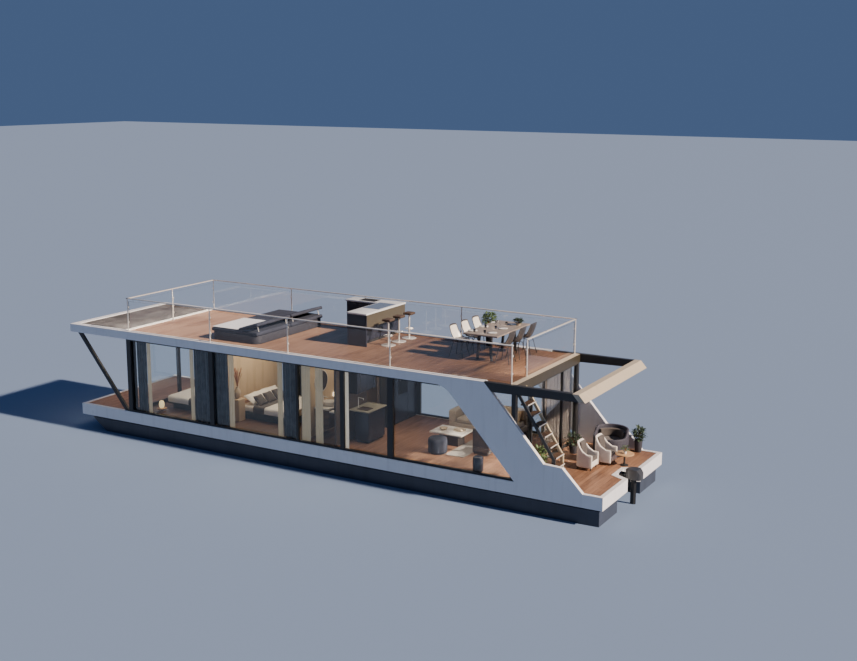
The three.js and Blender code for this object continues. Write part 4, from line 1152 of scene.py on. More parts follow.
ceramic = painted("ceramic", (196, 178, 152), (150, 130, 104), 0.5, 0.35)
dry_twig = grained("dry_twig", (176, 112, 66), (112, 66, 40), 0.8)
VASE = on_deck(11.86, 1.16, 0.66)
vase_outline = [
    (0.05, 0), (0.08, 0.04), (0.10, 0.14), (0.09, 0.24), (0.045, 0.30), (0.04, 0.34), (0.05, 0.36)
]
vase_outline += [(0.036, 0.361), (0.03, 0.33)]
fit(smooth(add_turned("ledge_vase", VASE, vase_outline), 50), "pale_stone", finish=ceramic)
twigs = add_stems("vase_twigs", (VASE[0], VASE[1], VASE[2] + 0.3), 26, 0.62, 0.17, 4, 0.006)
fit(twigs, "cabin_oak", finish=dry_twig)
ledge = add_block("bed_ledge", on_deck(11.70, 1.01), at(12.0, 1.31, VASE[2] - 0.0005))
fit(round_edges(ledge, 0.01, 2), "wall_panel", finish=wall_warm)
lantern_glow = painted(
    "lantern_glow", (248, 226, 150), (232, 200, 120), gloss=0.6,
    shine={"Emission Color": (1.0, 0.78, 0.38, 1), "Emission Strength": 0.9}
)
LANTERN = on_deck(14.42, 1.60, 0.12)
lantern = add_turned(
    "lantern", LANTERN, [(0.04, 0), (0.065, 0.02), (0.08, 0.08), (0.08, 0.14), (0.065, 0.20), (0.04, 0.22)]
)
fit(smooth(lantern, 50), "linen", finish=lantern_glow)
side_table = [add_disc("table_top", (LANTERN[0], LANTERN[1], deck_top + 0.095), 0.16, 0.025, 32, 0.006)]
side_table.append(add_disc("table_post", (LANTERN[0], LANTERN[1], deck_top + 0.02), 0.022, 0.076, 16))
side_table.append(add_disc("table_foot", (LANTERN[0], LANTERN[1], deck_top), 0.12, 0.02, 32, 0.005))
fit(smooth(weld("lantern_table", side_table)), "cabin_oak", finish=cabin_oak)

# Washstand on the middle partition: a walnut cabinet with two drawers hung off the wall, a stone top with a
# turned basin and a bent tap, a round mirror in a steel rim, a small wall lamp, a walnut end to the wall, and
# a stone shelf on two brackets.
walnut_veneer = grained("walnut_veneer", (96, 72, 56), (58, 42, 34), 0.4, relief=0.2)
WASH = {"aft": 8.51, "starboard": 0.67, "port": 1.33, "foot": 0.25, "top": 0.80}
wall_face = STERN + 8.98
wash_top = deck_top + WASH["top"]
cabinet = add_block(
    "wash_cabinet", on_deck(WASH["aft"] + 0.018, WASH["starboard"], WASH["foot"]),
    (wall_face, WASH["port"], wash_top)
)
wash_pieces = [round_edges(cabinet, 0.004, 2)]
for number in range(2):
    low_z = deck_top + WASH["foot"] + 0.012 + number * 0.268
    drawer = add_block(
        "drawer", at(WASH["aft"], WASH["starboard"] + 0.008, low_z),
        at(WASH["aft"] + 0.017, WASH["port"] - 0.008, low_z + 0.256)
    )
    wash_pieces.append(round_edges(drawer, 0.003, 2))
fit(weld("wash_cabinet", wash_pieces), "cabin_oak", "partition_middle", finish=walnut_veneer)
stone = painted("pale_stone", (236, 232, 224), (196, 188, 176), 0.6, 0.25)
wash_slab = add_block("wash_slab", at(8.49, 0.65, wash_top), (wall_face, 1.35, wash_top + 0.05))
fit(round_edges(wash_slab, 0.005, 2), "pale_stone", "partition_middle", finish=stone)
basin_place = at(8.70, 1.0, wash_top + 0.05)
basin = add_turned(
    "basin", basin_place,
    [(0.10, 0), (0.15, 0.02), (0.18, 0.10), (0.182, 0.13), (0.172, 0.13), (0.14, 0.035), (0.05, 0.022)]
)
fit(smooth(basin, 40), "pale_stone", finish=stone)
tap_parts = [add_bar("tap", at(8.91, 1.0, wash_top + 0.05), at(8.91, 1.0, wash_top + 0.30), 0.012, 14)]
tap_parts.append(add_bar("spout", at(8.91, 1.0, wash_top + 0.29), at(8.76, 1.0, wash_top + 0.27), 0.010, 14))
tap_parts.append(add_bar("lever", at(8.91, 1.0, wash_top + 0.30), at(8.93, 1.0, wash_top + 0.35), 0.006, 10))
fit(smooth(weld("wash_tap", tap_parts)), "steel", finish=rail_steel)
mirror_silver = painted(
    "mirror_silver", (228, 232, 236), (210, 214, 220), 0.1, 0.06, relief=0.0, shine={"Metallic": 1.0}
)
mirror = add_bar(
    "mirror", (wall_face - 0.004, 1.0, deck_top + 1.52), (wall_face - 0.016, 1.0, deck_top + 1.52), 0.30, 48
)
fit(
    round_edges(mirror, 0.003, 1, lambda middle, along: abs(along.x) < 0.01), "pale_stone",
    finish=mirror_silver
)
mirror_rim = add_bar(
    "mirror_rim", (wall_face - 0.0005, 1.0, deck_top + 1.52), (wall_face - 0.012, 1.0, deck_top + 1.52),
    0.325, 48
)
fit(round_edges(mirror_rim, 0.003, 1, lambda middle, along: abs(along.x) < 0.01), "steel", finish=rail_steel)
wall_lamp = add_turned(
    "wall_lamp", (wall_face - 0.055, 0.42, deck_top + 0.95),
    [(0.03, 0), (0.05, 0.015), (0.045, 0.10), (0.03, 0.13), (0.01, 0.135)], 24
)
fit(smooth(wall_lamp, 50), "wall_panel", finish=lamp_glow)

wall_end = add_block("wall_end", on_deck(8.972, 1.62), at(9.048, 1.8525, CEILING - 0.002))
fit(round_edges(wall_end, 0.003, 1), "cabin_oak", finish=walnut_veneer)
shelf = add_block("wash_shelf", on_deck(8.0, 1.30, 0.80), on_deck(8.37, 1.50, 0.84))
brackets = [
    add_block("bracket", on_deck(7.962, y, 0.72), on_deck(8.20, y + 0.012, 0.801))
    for y in (1.33, 1.46)
]
fit(weld("wash_shelf", [round_edges(shelf, 0.004, 2), *brackets]), "pale_stone", finish=stone)

# Galley: an island with dark blue fronts under an olive-grey top whose raised edges stand round a dark sink,
# and glossy dark blue tall units with shadow gaps, an oven, and wall cupboards.
dark_lacquer = grained("dark_lacquer", (82, 70, 60), (58, 48, 42), 0.4, relief=0.2)
gap_black = painted("gap_black", (18, 18, 18), wear=0.1, gloss=0.6)


def add_fronts(name, low, high, facing, rows, columns, thick=0.018, gap=0.004):
    """Door and drawer fronts in rows and columns over one face of a cupboard. Facing is -x, +x, -y or +y."""
    axis = "xy".index(facing[1])
    other = 1 - axis
    sign = -1 if facing[0] == "-" else 1
    fronts = []
    level = low[2]
    for row_share in rows:
        tall = (high[2] - low[2]) * row_share
        start = low[other]
        for column_share in columns:
            wide = (high[other] - low[other]) * column_share
            corner_a, corner_b = [0, 0, level + gap / 2], [0, 0, level + tall - gap / 2]
            corner_a[other], corner_b[other] = start + gap / 2, start + wide - gap / 2
            face = low[axis] if sign < 0 else high[axis]
            corner_a[axis], corner_b[axis] = sorted((face, face + sign * thick))
            fronts.append(round_edges(add_block("front", corner_a, corner_b), 0.002, 1))
            start += wide
        level += tall
    return weld(name, fronts)


navy_gloss = painted("navy_gloss", (44, 46, 58), (32, 34, 42), 0.4, 0.16)
island_low, island_high = Vector(on_deck(7.23, 0.40)), Vector(on_deck(7.70, 1.25, 0.89))
island = add_block(
    "island_body", island_low + Vector((0.02, 0.02, 0.06)), island_high - Vector((0.02, 0.02, 0.0))
)
island_foot = add_block(
    "island_foot", island_low + Vector((0.05, 0.05, 0)), island_high - Vector((0.05, 0.05, 0.83))
)
fit(
    weld("island_body", [round_edges(island, 0.003, 1), island_foot]), "dark_cabinet", "galley_island",
    finish=gap_black
)
fronts_low, fronts_high = island_low + Vector((0.02, 0.02, 0.07)), island_high - Vector((0.02, 0.02, 0.01))
ISLAND_FRONTS = [
    # facing, rows, columns
    ("-x", (0.4, 0.4, 0.2), (1.0,)),
    ("+x", (1.0,), (0.5, 0.5)),
    ("+y", (1.0,), (1.0,)),
    ("-y", (1.0,), (1.0,)),
]
island_fronts = [add_fronts("side", fronts_low, fronts_high, *side_values) for side_values in ISLAND_FRONTS]
fit(weld("island_fronts", island_fronts), "dark_cabinet", "galley_island", finish=navy_gloss)
island_top = add_block("island_top", on_deck(7.20, 0.35, 0.89), on_deck(7.85, 1.30, 0.92))
choose_faces(island_top, lambda middle, normal: normal.z > 0.9)
bpy.ops.mesh.inset(thickness=0.035, depth=0)
bpy.ops.mesh.extrude_region_move(TRANSFORM_OT_translate={"value": (0, 0, -0.012)})
bpy.ops.mesh.inset(thickness=0.012, depth=0)
bpy.ops.object.mode_set(mode="OBJECT")
olive_stone = painted("olive_stone", (158, 154, 138), (120, 116, 100), 0.6, 0.3)
fit(round_edges(island_top, 0.003, 1), "pale_stone", "galley_island", finish=olive_stone)
sink = add_block("island_sink", on_deck(7.34, 0.82, 0.904), on_deck(7.70, 1.14, 0.918))
choose_faces(sink, lambda middle, normal: normal.z > 0.9)
bpy.ops.mesh.inset(thickness=0.018, depth=0)
bpy.ops.mesh.extrude_region_move(TRANSFORM_OT_translate={"value": (0, 0, -0.010)})
bpy.ops.object.mode_set(mode="OBJECT")
fit(round_edges(sink, 0.002, 1), "dark_cabinet", "galley_island", finish=dark_lacquer)
tap_parts = [
    add_bar("tap", on_deck(7.74, 0.98, 0.91), on_deck(7.74, 0.98, 1.21), 0.012, 14),
    add_bar("spout", on_deck(7.74, 0.98, 1.205), on_deck(7.57, 0.98, 1.195), 0.010, 14),
    add_bar("nozzle", on_deck(7.575, 0.98, 1.20), on_deck(7.575, 0.98, 1.15), 0.011, 14),
]
fit(smooth(weld("island_tap", tap_parts)), "steel", finish=rail_steel)

UNIT_AFT, UNIT_FORE, UNIT_TOP = 7.618, 7.899, 2.17
carcass = [
    add_block("tall", on_deck(UNIT_AFT, -1.98), on_deck(UNIT_FORE, -0.38, UNIT_TOP)),
    add_block("bridge", on_deck(UNIT_AFT, -0.38, 2.045), on_deck(UNIT_FORE, 0.30, UNIT_TOP)),
    add_block("upper", on_deck(UNIT_AFT, 0.30, 1.37), on_deck(UNIT_FORE, 1.24, UNIT_TOP)),
]
fit(weld("galley_carcass", carcass), "dark_cabinet", "galley_units", finish=gap_black)
GALLEY_FRONTS = [
    # starboard end, port end, foot, top, rows, columns
    (-1.98, -0.38, 0.06, UNIT_TOP, (0.35, 0.30, 0.35), (1 / 3, 1 / 3, 1 / 3)),
    (-0.38, 0.30, 2.047, UNIT_TOP - 0.002, (1.0,), (1.0,)),
    (0.30, 1.24, 1.372, UNIT_TOP - 0.002, (1.0,), (0.5, 0.5)),
]
galley_fronts = []
for starboard, port, foot, top, rows_of, columns_of in GALLEY_FRONTS:
    low, high = on_deck(UNIT_AFT, starboard, foot), on_deck(UNIT_FORE, port, top)
    galley_fronts.append(add_fronts("fronts", low, high, "-x", rows_of, columns_of))
fit(weld("galley_fronts", galley_fronts), "dark_cabinet", "galley_units", finish=navy_gloss)
oven = add_block("oven", on_deck(7.592, -1.42, 0.86), on_deck(7.601, -0.94, 1.36))
choose_faces(oven, lambda middle, normal: normal.x < -0.9)
bpy.ops.mesh.inset(thickness=0.03, depth=-0.003)
bpy.ops.object.mode_set(mode="OBJECT")
fit(round_edges(oven, 0.002, 1), "dark_cabinet", finish=gap_black)
oven_bar = [add_bar("bar", on_deck(7.565, -1.40, 1.30), on_deck(7.565, -0.96, 1.30), 0.007, 12)]
for y in (-1.37, -0.99):
    oven_bar.append(add_bar("stud", on_deck(7.565, y, 1.30), on_deck(7.594, y, 1.30), 0.005, 10))
fit(smooth(weld("oven_handle", oven_bar)), "steel", finish=rail_steel)

# Sofa: an upholstered frame on short feet, loose seat and back cushions blown up a little, scatter cushions,
# and one low end arm at its bow end.
sofa_cloth = woven("sofa_cloth", (198, 188, 172), (166, 154, 138), 0.006, relief=0.4, sheen=0.3)
SOFA = {"aft": 3.9, "fore": 6.0, "back": -1.95, "front": -1.05, "seat": 0.42, "arm": 0.62}
feet = []
for x in (SOFA["aft"] + 0.08, SOFA["fore"] - 0.08):
    for y in (SOFA["back"] + 0.08, SOFA["front"] - 0.08):
        feet.append(add_disc("foot", on_deck(x, y), 0.022, 0.09, 14))
fit(smooth(weld("sofa_feet", feet)), "dark_cabinet", "sofa", finish=dark_lacquer)
sofa_base = add_pad(
    "sofa_base", on_deck(SOFA["aft"], SOFA["back"], 0.085), on_deck(SOFA["fore"], SOFA["front"], 0.27), 0.02,
    0.004
)
sofa_back = add_pad(
    "sofa_back", on_deck(SOFA["aft"], SOFA["back"], 0.26), on_deck(SOFA["fore"], SOFA["back"] + 0.13, 0.72),
    0.03, 0.01
)
sofa_arm = add_pad(
    "sofa_arm", on_deck(SOFA["fore"] - 0.22, SOFA["back"] + 0.1, 0.26),
    on_deck(SOFA["fore"], SOFA["front"], SOFA["arm"]), 0.035, 0.015
)
fit(weld("sofa_frame", [sofa_base, sofa_back, sofa_arm]), "linen", "sofa", finish=sofa_cloth)
for number in range(2):
    start = SOFA["aft"] + 0.01 + number * 0.93
    seat = add_pad(
        f"sofa_seat_{number}", on_deck(start, SOFA["back"] + 0.22, 0.27),
        on_deck(start + 0.92, SOFA["front"] - 0.005, SOFA["seat"]), 0.035, 0.012
    )
    swell_up(seat, 0.02, 0.006)
    fit(seat, "linen", "sofa", finish=sofa_cloth)
    back = add_pad(
        f"sofa_back_{number}", on_deck(start + 0.01, SOFA["back"] + 0.12, SOFA["seat"]),
        on_deck(start + 0.91, SOFA["back"] + 0.26, 0.77), 0.04, 0.012
    )
    swell_up(back, 0.02, 0.006)
    fit(back, "linen", "sofa", finish=sofa_cloth)
SCATTER = ((4.15, 78, linen_sand), (4.95, 96, linen_white), (5.52, 104, linen_sand))
for number, (x, turn, finish) in enumerate(SCATTER):
    lean = put(x, -1.60, deck_top + 0.60, turn, 68)
    scatter = copy_at(cushion_model, f"sofa_cushion_{number}", lean)
    fit(scatter, "linen", finish=finish)

for model in (pillow_model, cushion_model):
    bpy.data.objects.remove(model)

# Low saloon pieces on a grey rug: a white-topped coffee table on a set-back box, a dark armchair, a dark pouf
# and drum stool, and two books and a bowl on the table.
rug_grey = woven("rug_grey", (190, 184, 176), (156, 150, 144), 0.01, relief=0.5)
rug = add_block("saloon_rug", on_deck(4.41, -0.80, 0.0003), on_deck(4.97, 1.0, 0.009))
fit(round_edges(rug, 0.003, 1), "slate_fabric", finish=rug_grey)
table_top = add_block("coffee_top", on_deck(4.80, -0.35, 0.34), on_deck(5.80, 0.40, 0.38))
fit(round_edges(table_top, 0.006, 2), "pale_stone", "coffee_table", finish=stone)
table_foot = add_block("coffee_foot", on_deck(5.0, -0.16), on_deck(5.6, 0.21, 0.3405))
choose_faces(table_foot, lambda middle, normal: normal.z < -0.9)
bpy.ops.mesh.inset(thickness=0.02, depth=0)
bpy.ops.mesh.extrude_region_move(TRANSFORM_OT_translate={"value": (0, 0, 0.02)})
bpy.ops.object.mode_set(mode="OBJECT")
fit(round_edges(table_foot, 0.004, 2), "cabin_oak", "coffee_table", finish=dark_lacquer)
books = []
for number, (length, turn) in enumerate(((0.30, 8), (0.26, -12))):
    book = add_block("book", (-length / 2, -0.10, 0), (length / 2, 0.10, 0.028))
    choose_faces(book, lambda middle, normal: abs(normal.y) > 0.9 or abs(normal.x) > 0.9)
    bpy.ops.mesh.inset(thickness=0.005, depth=-0.003, use_individual=True)
    bpy.ops.object.mode_set(mode="OBJECT")
    book.data.transform(put(5.10, -0.05, deck_top + 0.3802 + number * 0.0283, turn))
    books.append(book)
fit(weld("table_books", books), "linen", finish=linen_sand)
bowl = add_turned(
    "table_bowl", on_deck(5.53, 0.08, 0.3803),
    [(0.05, 0), (0.10, 0.03), (0.12, 0.06), (0.112, 0.06), (0.09, 0.035), (0.03, 0.012)]
)
fit(smooth(bowl, 40), "pale_stone", finish=ceramic)
chair_frame = add_pad("armchair_base", on_deck(3.87, 0.08, 0.05), on_deck(4.37, 0.58, 0.22), 0.03, 0.004)
chair_back = add_pad("armchair_back", on_deck(3.87, 0.46, 0.2), on_deck(4.37, 0.58, 0.73), 0.045, 0.012)
chair_feet = [add_disc("foot", on_deck(x, y), 0.016, 0.055, 12) for x in (3.92, 4.32) for y in (0.13, 0.53)]
fit(smooth(weld("armchair_feet", chair_feet)), "dark_cabinet", "armchair", finish=dark_lacquer)
fit(weld("armchair_frame", [chair_frame, chair_back]), "slate_fabric", "armchair", finish=throw_dark)
chair_seat = add_pad("armchair_seat", on_deck(3.88, 0.09, 0.22), on_deck(4.36, 0.465, 0.335), 0.035, 0.01)
swell_up(chair_seat, 0.015, 0.005)
fit(chair_seat, "slate_fabric", "armchair", finish=throw_dark)
pouf = add_turned(
    "pouf_seat", on_deck(5.24, 0.92),
    [(0.225, 0.0), (0.25, 0.02), (0.262, 0.08), (0.263, 0.34), (0.25, 0.40), (0.22, 0.422), (0.10, 0.429)], 40
)
navy_cloth = woven("navy_cloth", (58, 62, 78), (40, 44, 56), 0.006, relief=0.3)
fit(smooth(pouf, 60), "slate_fabric", "pouf", finish=navy_cloth)
drum = add_turned(
    "drum_stool", on_deck(3.55, 1.81),
    [(0.115, 0.0), (0.135, 0.03), (0.14, 0.20), (0.135, 0.36), (0.12, 0.39), (0.11, 0.398), (0.05, 0.40)], 32
)
fit(smooth(drum, 50), "dark_cabinet", finish=navy_gloss)

# Dining set on the roof: a thick stone-grey top on two trestle legs, and six dark shell chairs with white
# liners, pads and splayed legs. Plates, glasses, a jug and a plant are on the table, a shrub beside it.
table_stone = painted("table_stone", (148, 136, 126), (122, 111, 101), 0.5, 0.35)


def on_roof(x, y, z=0.0):
    """A place at a height over the roof's edge."""
    return at(x, y, ROOF + z)


table = add_block("dining_top", on_roof(3.83, -1.78, 0.70), on_roof(4.86, 0.26, 0.74))
fit(round_edges(table, 0.008, 3), "pale_stone", "dining_table", finish=table_stone)
trestle_places = [(4.10, boards_top), (4.16, boards_top), (4.22, ROOF + 0.64), (4.47, ROOF + 0.64)]
trestle_places += [(4.53, boards_top), (4.59, boards_top), (4.53, ROOF + 0.70), (4.16, ROOF + 0.70)]
outline = [(STERN + x, z) for x, z in trestle_places]
trestles = []
for y in (-1.5, -0.02):
    trestles.append(round_edges(add_plate("trestle", outline, "xz", y - 0.03, y + 0.03), 0.004, 1))
fit(weld("dining_legs", trestles), "steel", "dining_table", finish=frame_black)

shell_white = painted("shell_white", (232, 226, 216), (196, 186, 170), 0.2, 0.38)
shell_dark = painted("shell_dark", (62, 60, 62), (46, 44, 44), 0.2, 0.4)
pad_grey = woven("pad_grey", (206, 198, 188), (180, 172, 162), 0.005, relief=0.35)


def shell_sheet(reach, wide, thick, lift):
    """The chair's moulded seat and back as one bent sheet, or a smaller liner that lies inside it."""
    shell = add_grid("chair_shell", 20, 18)
    for corner in shell.data.vertices:
        a, b = corner.co.x * reach, corner.co.y * wide
        narrowed = math.sqrt(max(0.0, 1 - (0.55 * abs(a)) ** 2.5))
        side = abs(b) ** 2.4
        if a > -0.1:
            share = (a + 0.1) / 1.1
            x, z = -0.07 + share * 0.29, 0.435 - 0.02 * share**3 + lift
            z += side * (0.05 + 0.14 * max(0.0, 0.45 - share))
        else:
            share = (-a - 0.1) / 0.9
            x = -0.07 - 0.11 * math.sin(share * math.pi / 2) - 0.07 * share + lift * min(1, share * 3)
            z = 0.435 + 0.445 * share**1.4 + lift * (1 - min(1, share * 3))
            x += side * (0.13 * (1 - share * 0.7))
            z -= side * 0.02 * share
        corner.co = (x, b * 0.225 * narrowed, z)
    apply_modifier(shell, "SOLIDIFY", thickness=thick, offset=0)
    apply_modifier(shell, "SUBSURF", levels=1, render_levels=1)
    return smooth(shell, 70)


def add_shell_chair():
    """A chair that faces +x at the origin: a moulded shell and its liner on four splayed legs, with a pad."""
    shell = shell_sheet(1.0, 1.0, 0.014, 0.0)
    liner = shell_sheet(0.94, 0.86, 0.008, 0.0125)
    legs = []
    for x in (-0.16, 0.16):
        for y in (-0.16, 0.16):
            foot = (x * 1.32, y * 1.32, boards_top - ROOF)
            legs.append(add_bar("leg", foot, (x * 0.75, y * 0.75, 0.425), 0.011, 12))
    for y in (-0.125, 0.125):
        legs.append(add_bar("rung", (-0.13, y, 0.415), (0.13, y, 0.415), 0.009, 10))
    frame_piece = smooth(weld("chair_legs", legs))
    cushion = add_disc("chair_pad", (0.065, 0, 0.452), 0.16, 0.03, 28, 0.012)
    return shell, liner, frame_piece, smooth(cushion, 50)


chair_shell, chair_liner, chair_legs, chair_pad = add_shell_chair()
CHAIRS = [(5.14, y, 180) for y in (-0.08, -0.73, -1.38)] + [(3.75, y, 0) for y in (-0.08, -0.73, -1.38)]
CHAIR_PARTS = [
    ("shell", chair_shell, "dark_cabinet", shell_dark),
    ("liner", chair_liner, "white_paint", shell_white),
    ("legs", chair_legs, "steel", frame_black),
]
for number, (x, y, turn) in enumerate(CHAIRS):
    place = put(x, y, ROOF, turn)
    for part, model, slot, finish in CHAIR_PARTS:
        fit(copy_at(model, f"dining_chair_{part}_{number}", place), slot, "roof_boards", finish=finish)
    cushion = fit(copy_at(chair_pad, f"dining_chair_pad_{number}", place), "linen", finish=pad_grey)
for model in (chair_shell, chair_liner, chair_legs, chair_pad):
    bpy.data.objects.remove(model)

leaf_green = painted("leaf_green", (96, 118, 72), (62, 84, 46), 1.0, 0.5)
leaf_dark = painted("leaf_dark", (62, 78, 58), (36, 50, 36), 1.0, 0.5)
soil_brown = grained("soil_brown", (74, 58, 46), (44, 34, 28), 0.9, relief=0.8, depth=0.01)


def add_leaves(name, foot, count, height, spread_out, leaf, seed):
    """Bushy greenery: bent pointed leaves on short stalks that fan out from one place."""
    chance = random.Random(seed)
    blade = add_grid("blade", 5, 2)
    for corner in blade.data.vertices:
        share = (corner.co.x + 1) / 2
        half = leaf * 0.22 * math.sin(math.pi * min(1.0, share * 0.9 + 0.08)) ** 0.8 + 0.0008
        fold = abs(corner.co.y) * leaf * 0.06
        corner.co = (leaf * share, corner.co.y * half, fold - leaf * 0.35 * share**2)
    apply_modifier(blade, "SOLIDIFY", thickness=0.0012, offset=0)
    smooth(blade, 60)
    places = []
    for _ in range(count):
        heading, lift = chance.uniform(0, 2 * math.pi), chance.uniform(0.0, 1.0)
        belly = math.sqrt(max(0.05, 1 - (2 * lift - 1) ** 2 * 0.75))
        reach = spread_out * math.sqrt(chance.uniform(0.02, 1.0)) * belly
        spot = Vector(foot) + Vector((math.cos(heading) * reach, math.sin(heading) * reach, lift * height))
        pitch = chance.uniform(-70, 15)
        places.append(
            Matrix.Translation(spot)
            @ Matrix.Rotation(heading + chance.uniform(-0.8, 0.8), 4, "Z")
            @ Matrix.Rotation(math.radians(pitch), 4, "Y")
            @ Matrix.Rotation(chance.uniform(-0.5, 0.5), 4, "X")
            @ Matrix.Scale(chance.uniform(0.7, 1.2), 4)
        )
    return repeat(name, blade, places)


def add_plant(
    name, foot, pot_radius, pot_height, height, spread_out, leaf, count, seed, greens, pot_finish, *stands_for
):
    """A potted plant: a turned pot with soil in it, stems, and leaves."""
    pot = add_turned(
        name + "_pot",
        foot,
        [
            (pot_radius * 0.72, 0),
            (pot_radius * 0.80, pot_height * 0.15),
            (pot_radius, pot_height * 0.94),
            (pot_radius * 0.98, pot_height),
            (pot_radius * 0.86, pot_height),
            (pot_radius * 0.84, pot_height * 0.88),
        ],
        28,
    )
    fit(smooth(pot, 45), "pale_stone", *stands_for, finish=pot_finish)
    rim = foot[2] + pot_height * 0.88
    soil = add_disc(name + "_soil", (foot[0], foot[1], rim - 0.004), pot_radius * 0.82, 0.012, 24, 0.004)
    fit(soil, "cabin_oak", finish=soil_brown)
    stems = add_stems(
        name + "_stems", (foot[0], foot[1], rim), 9, height * 0.8, spread_out * 0.7, seed, 0.0025
    )
    fit(stems, "cabin_oak", finish=dry_twig)
    leaves = add_leaves(
        name + "_leaves", (foot[0], foot[1], rim + height * 0.12), count, height * 0.9, spread_out, leaf, seed
    )
    fit(leaves, "cabin_oak", finish=greens)


table_level = ROOF + 0.7402
add_plant(
    "table_plant", at(4.02, -1.41, table_level), 0.07, 0.07, 0.12, 0.12, 0.055, 200, 21, leaf_dark, ceramic
)
pot_dark = painted("pot_dark", (56, 56, 62), (40, 40, 44), 0.4, 0.5)
add_plant(
    "roof_shrub", at(5.10, -1.78, boards_top), 0.12, 0.55, 0.44, 0.18, 0.08, 420, 22, leaf_green, pot_dark
)
porcelain = painted("porcelain", (240, 238, 232), (222, 218, 208), 0.2, 0.15)
glassware = new_glass("glassware", (0.97, 0.98, 0.98, 1), 0.01)
plate_outline = [(0.06, 0), (0.085, 0.004), (0.13, 0.016), (0.131, 0.018), (0.085, 0.009), (0.03, 0.006)]
plate_model = smooth(add_turned("plate", (0, 0, 0), plate_outline), 40)
glass_outline = [(0.026, 0), (0.028, 0.004), (0.035, 0.10), (0.033, 0.10), (0.026, 0.008), (0.01, 0.007)]
glass_model = smooth(add_turned("tumbler", (0, 0, 0), glass_outline, 24), 40)
plate_places, glass_places = [], []
for x, y, turn in CHAIRS:
    inwards = 0.40 if turn == 0 else -0.40
    plate_places.append(Matrix.Translation(at(x + inwards, y, table_level)))
    glass_places.append(Matrix.Translation(at(x + inwards * 1.35, y + 0.17, table_level)))
fit(repeat("table_plates", plate_model, plate_places), "pale_stone", finish=porcelain)
fit(repeat("table_tumblers", glass_model, glass_places), "clear_glass", finish=glassware)
jug_outline = [(0.05, 0), (0.065, 0.03), (0.06, 0.10), (0.035, 0.16), (0.042, 0.21), (0.039, 0.21)]
jug_outline += [(0.03, 0.16), (0.05, 0.10), (0.04, 0.012)]
jug = add_turned("table_jug", at(4.33, -0.78, table_level), jug_outline, 28)
fit(smooth(jug, 50), "clear_glass", finish=glassware)

# Bar: an L of pale worktop with rounded edges over dark blue fronts, a grey-blue glass plate and a hob on it,
# an olive apron band before the stools, and three stools on round feet.
bar_white = painted("bar_white", (222, 224, 224), (184, 186, 184), 0.3, 0.22)
front_olive = painted("front_olive", (84, 78, 66), (64, 60, 50), 0.4, 0.45)
top_low, top_high = ROOF + 0.89, ROOF + 0.94
bar_places = [(7.93, -1.90), (9.74, -1.90), (9.74, -1.40), (8.60, -1.40), (8.60, 0.25), (7.93, 0.25)]
bar_outline = [(STERN + x, y) for x, y in bar_places]
worktop = round_edges(add_plate("bar_top", bar_outline, "xy", top_low, top_high), 0.010, 3)
fit(smooth(worktop, 40), "pale_stone", "bar", finish=bar_white)
body_low = boards_top
short_body = add_block("bar_body", at(8.18, -1.86, body_low + 0.08), at(8.56, 0.21, top_low + 0.002))
long_body = add_block("bar_body", at(8.56, -1.86, body_low + 0.08), at(9.70, -1.44, top_low + 0.002))
kick = add_block("bar_kick", at(8.20, -1.84, body_low), at(8.52, 0.19, body_low + 0.08))
long_kick = add_block("bar_kick", at(8.52, -1.84, body_low), at(9.66, -1.48, body_low + 0.08))
fit(weld("bar_body", [short_body, long_body, kick, long_kick]), "dark_cabinet", "bar", finish=gap_black)
fronts_foot, fronts_head = body_low + 0.09, top_low - 0.01
bar_fronts = [
    # name, corners on plan from the stern, facing, rows, columns
    ("a", (8.18, -1.86), (8.56, 0.21), "-x", (1.0,), (0.25, 0.25, 0.25, 0.25)),
    ("b", (8.18, -1.42), (8.56, 0.21), "+x", (0.75, 0.25), (0.34, 0.33, 0.33)),
    ("c", (8.60, -1.86), (9.70, -1.44), "+y", (0.75, 0.25), (0.34, 0.33, 0.33)),
    ("d", (8.56, -1.86), (9.70, -1.44), "+x", (1.0,), (1.0,)),
    ("e", (8.18, -1.86), (9.70, -1.44), "-y", (1.0,), (0.25, 0.25, 0.25, 0.25)),
]
bar_doors = []
for name, (aft, starboard), (fore, port), facing, rows_of, columns_of in bar_fronts:
    low, high = at(aft, starboard, fronts_foot), at(fore, port, fronts_head)
    bar_doors.append(add_fronts(name, low, high, facing, rows_of, columns_of))
fit(weld("bar_fronts", bar_doors), "dark_cabinet", "bar", finish=navy_gloss)
apron = add_block("bar_apron", on_roof(7.95, -1.88, 0.52), at(7.98, 0.23, top_low + 0.001))
fit(round_edges(apron, 0.004, 2), "dark_cabinet", "bar", finish=front_olive)
end_panel = add_block("bar_end", at(7.95, 0.195, body_low), at(8.58, 0.23, top_low + 0.001))
fit(round_edges(end_panel, 0.004, 2), "dark_cabinet", "bar", finish=navy_gloss)
hob = add_block("bar_hob", at(8.75, -1.82, top_high + 0.0005), at(9.30, -1.46, top_high + 0.007))
rings = [add_disc("ring", at(x, -1.64, top_high + 0.007), 0.085, 0.002, 32, 0.0008) for x in (8.89, 9.15)]
fit(weld("bar_hob", [round_edges(hob, 0.003, 1), *rings]), "dark_cabinet", finish=gap_black)
plate_blue = painted("plate_blue", (112, 124, 142), (86, 98, 114), 0.4, 0.1)
bar_plate = add_block("bar_plate", at(8.00, -1.45, top_high + 0.0005), at(8.55, -0.50, top_high + 0.007))
fit(round_edges(bar_plate, 0.002, 2), "dark_cabinet", finish=plate_blue)

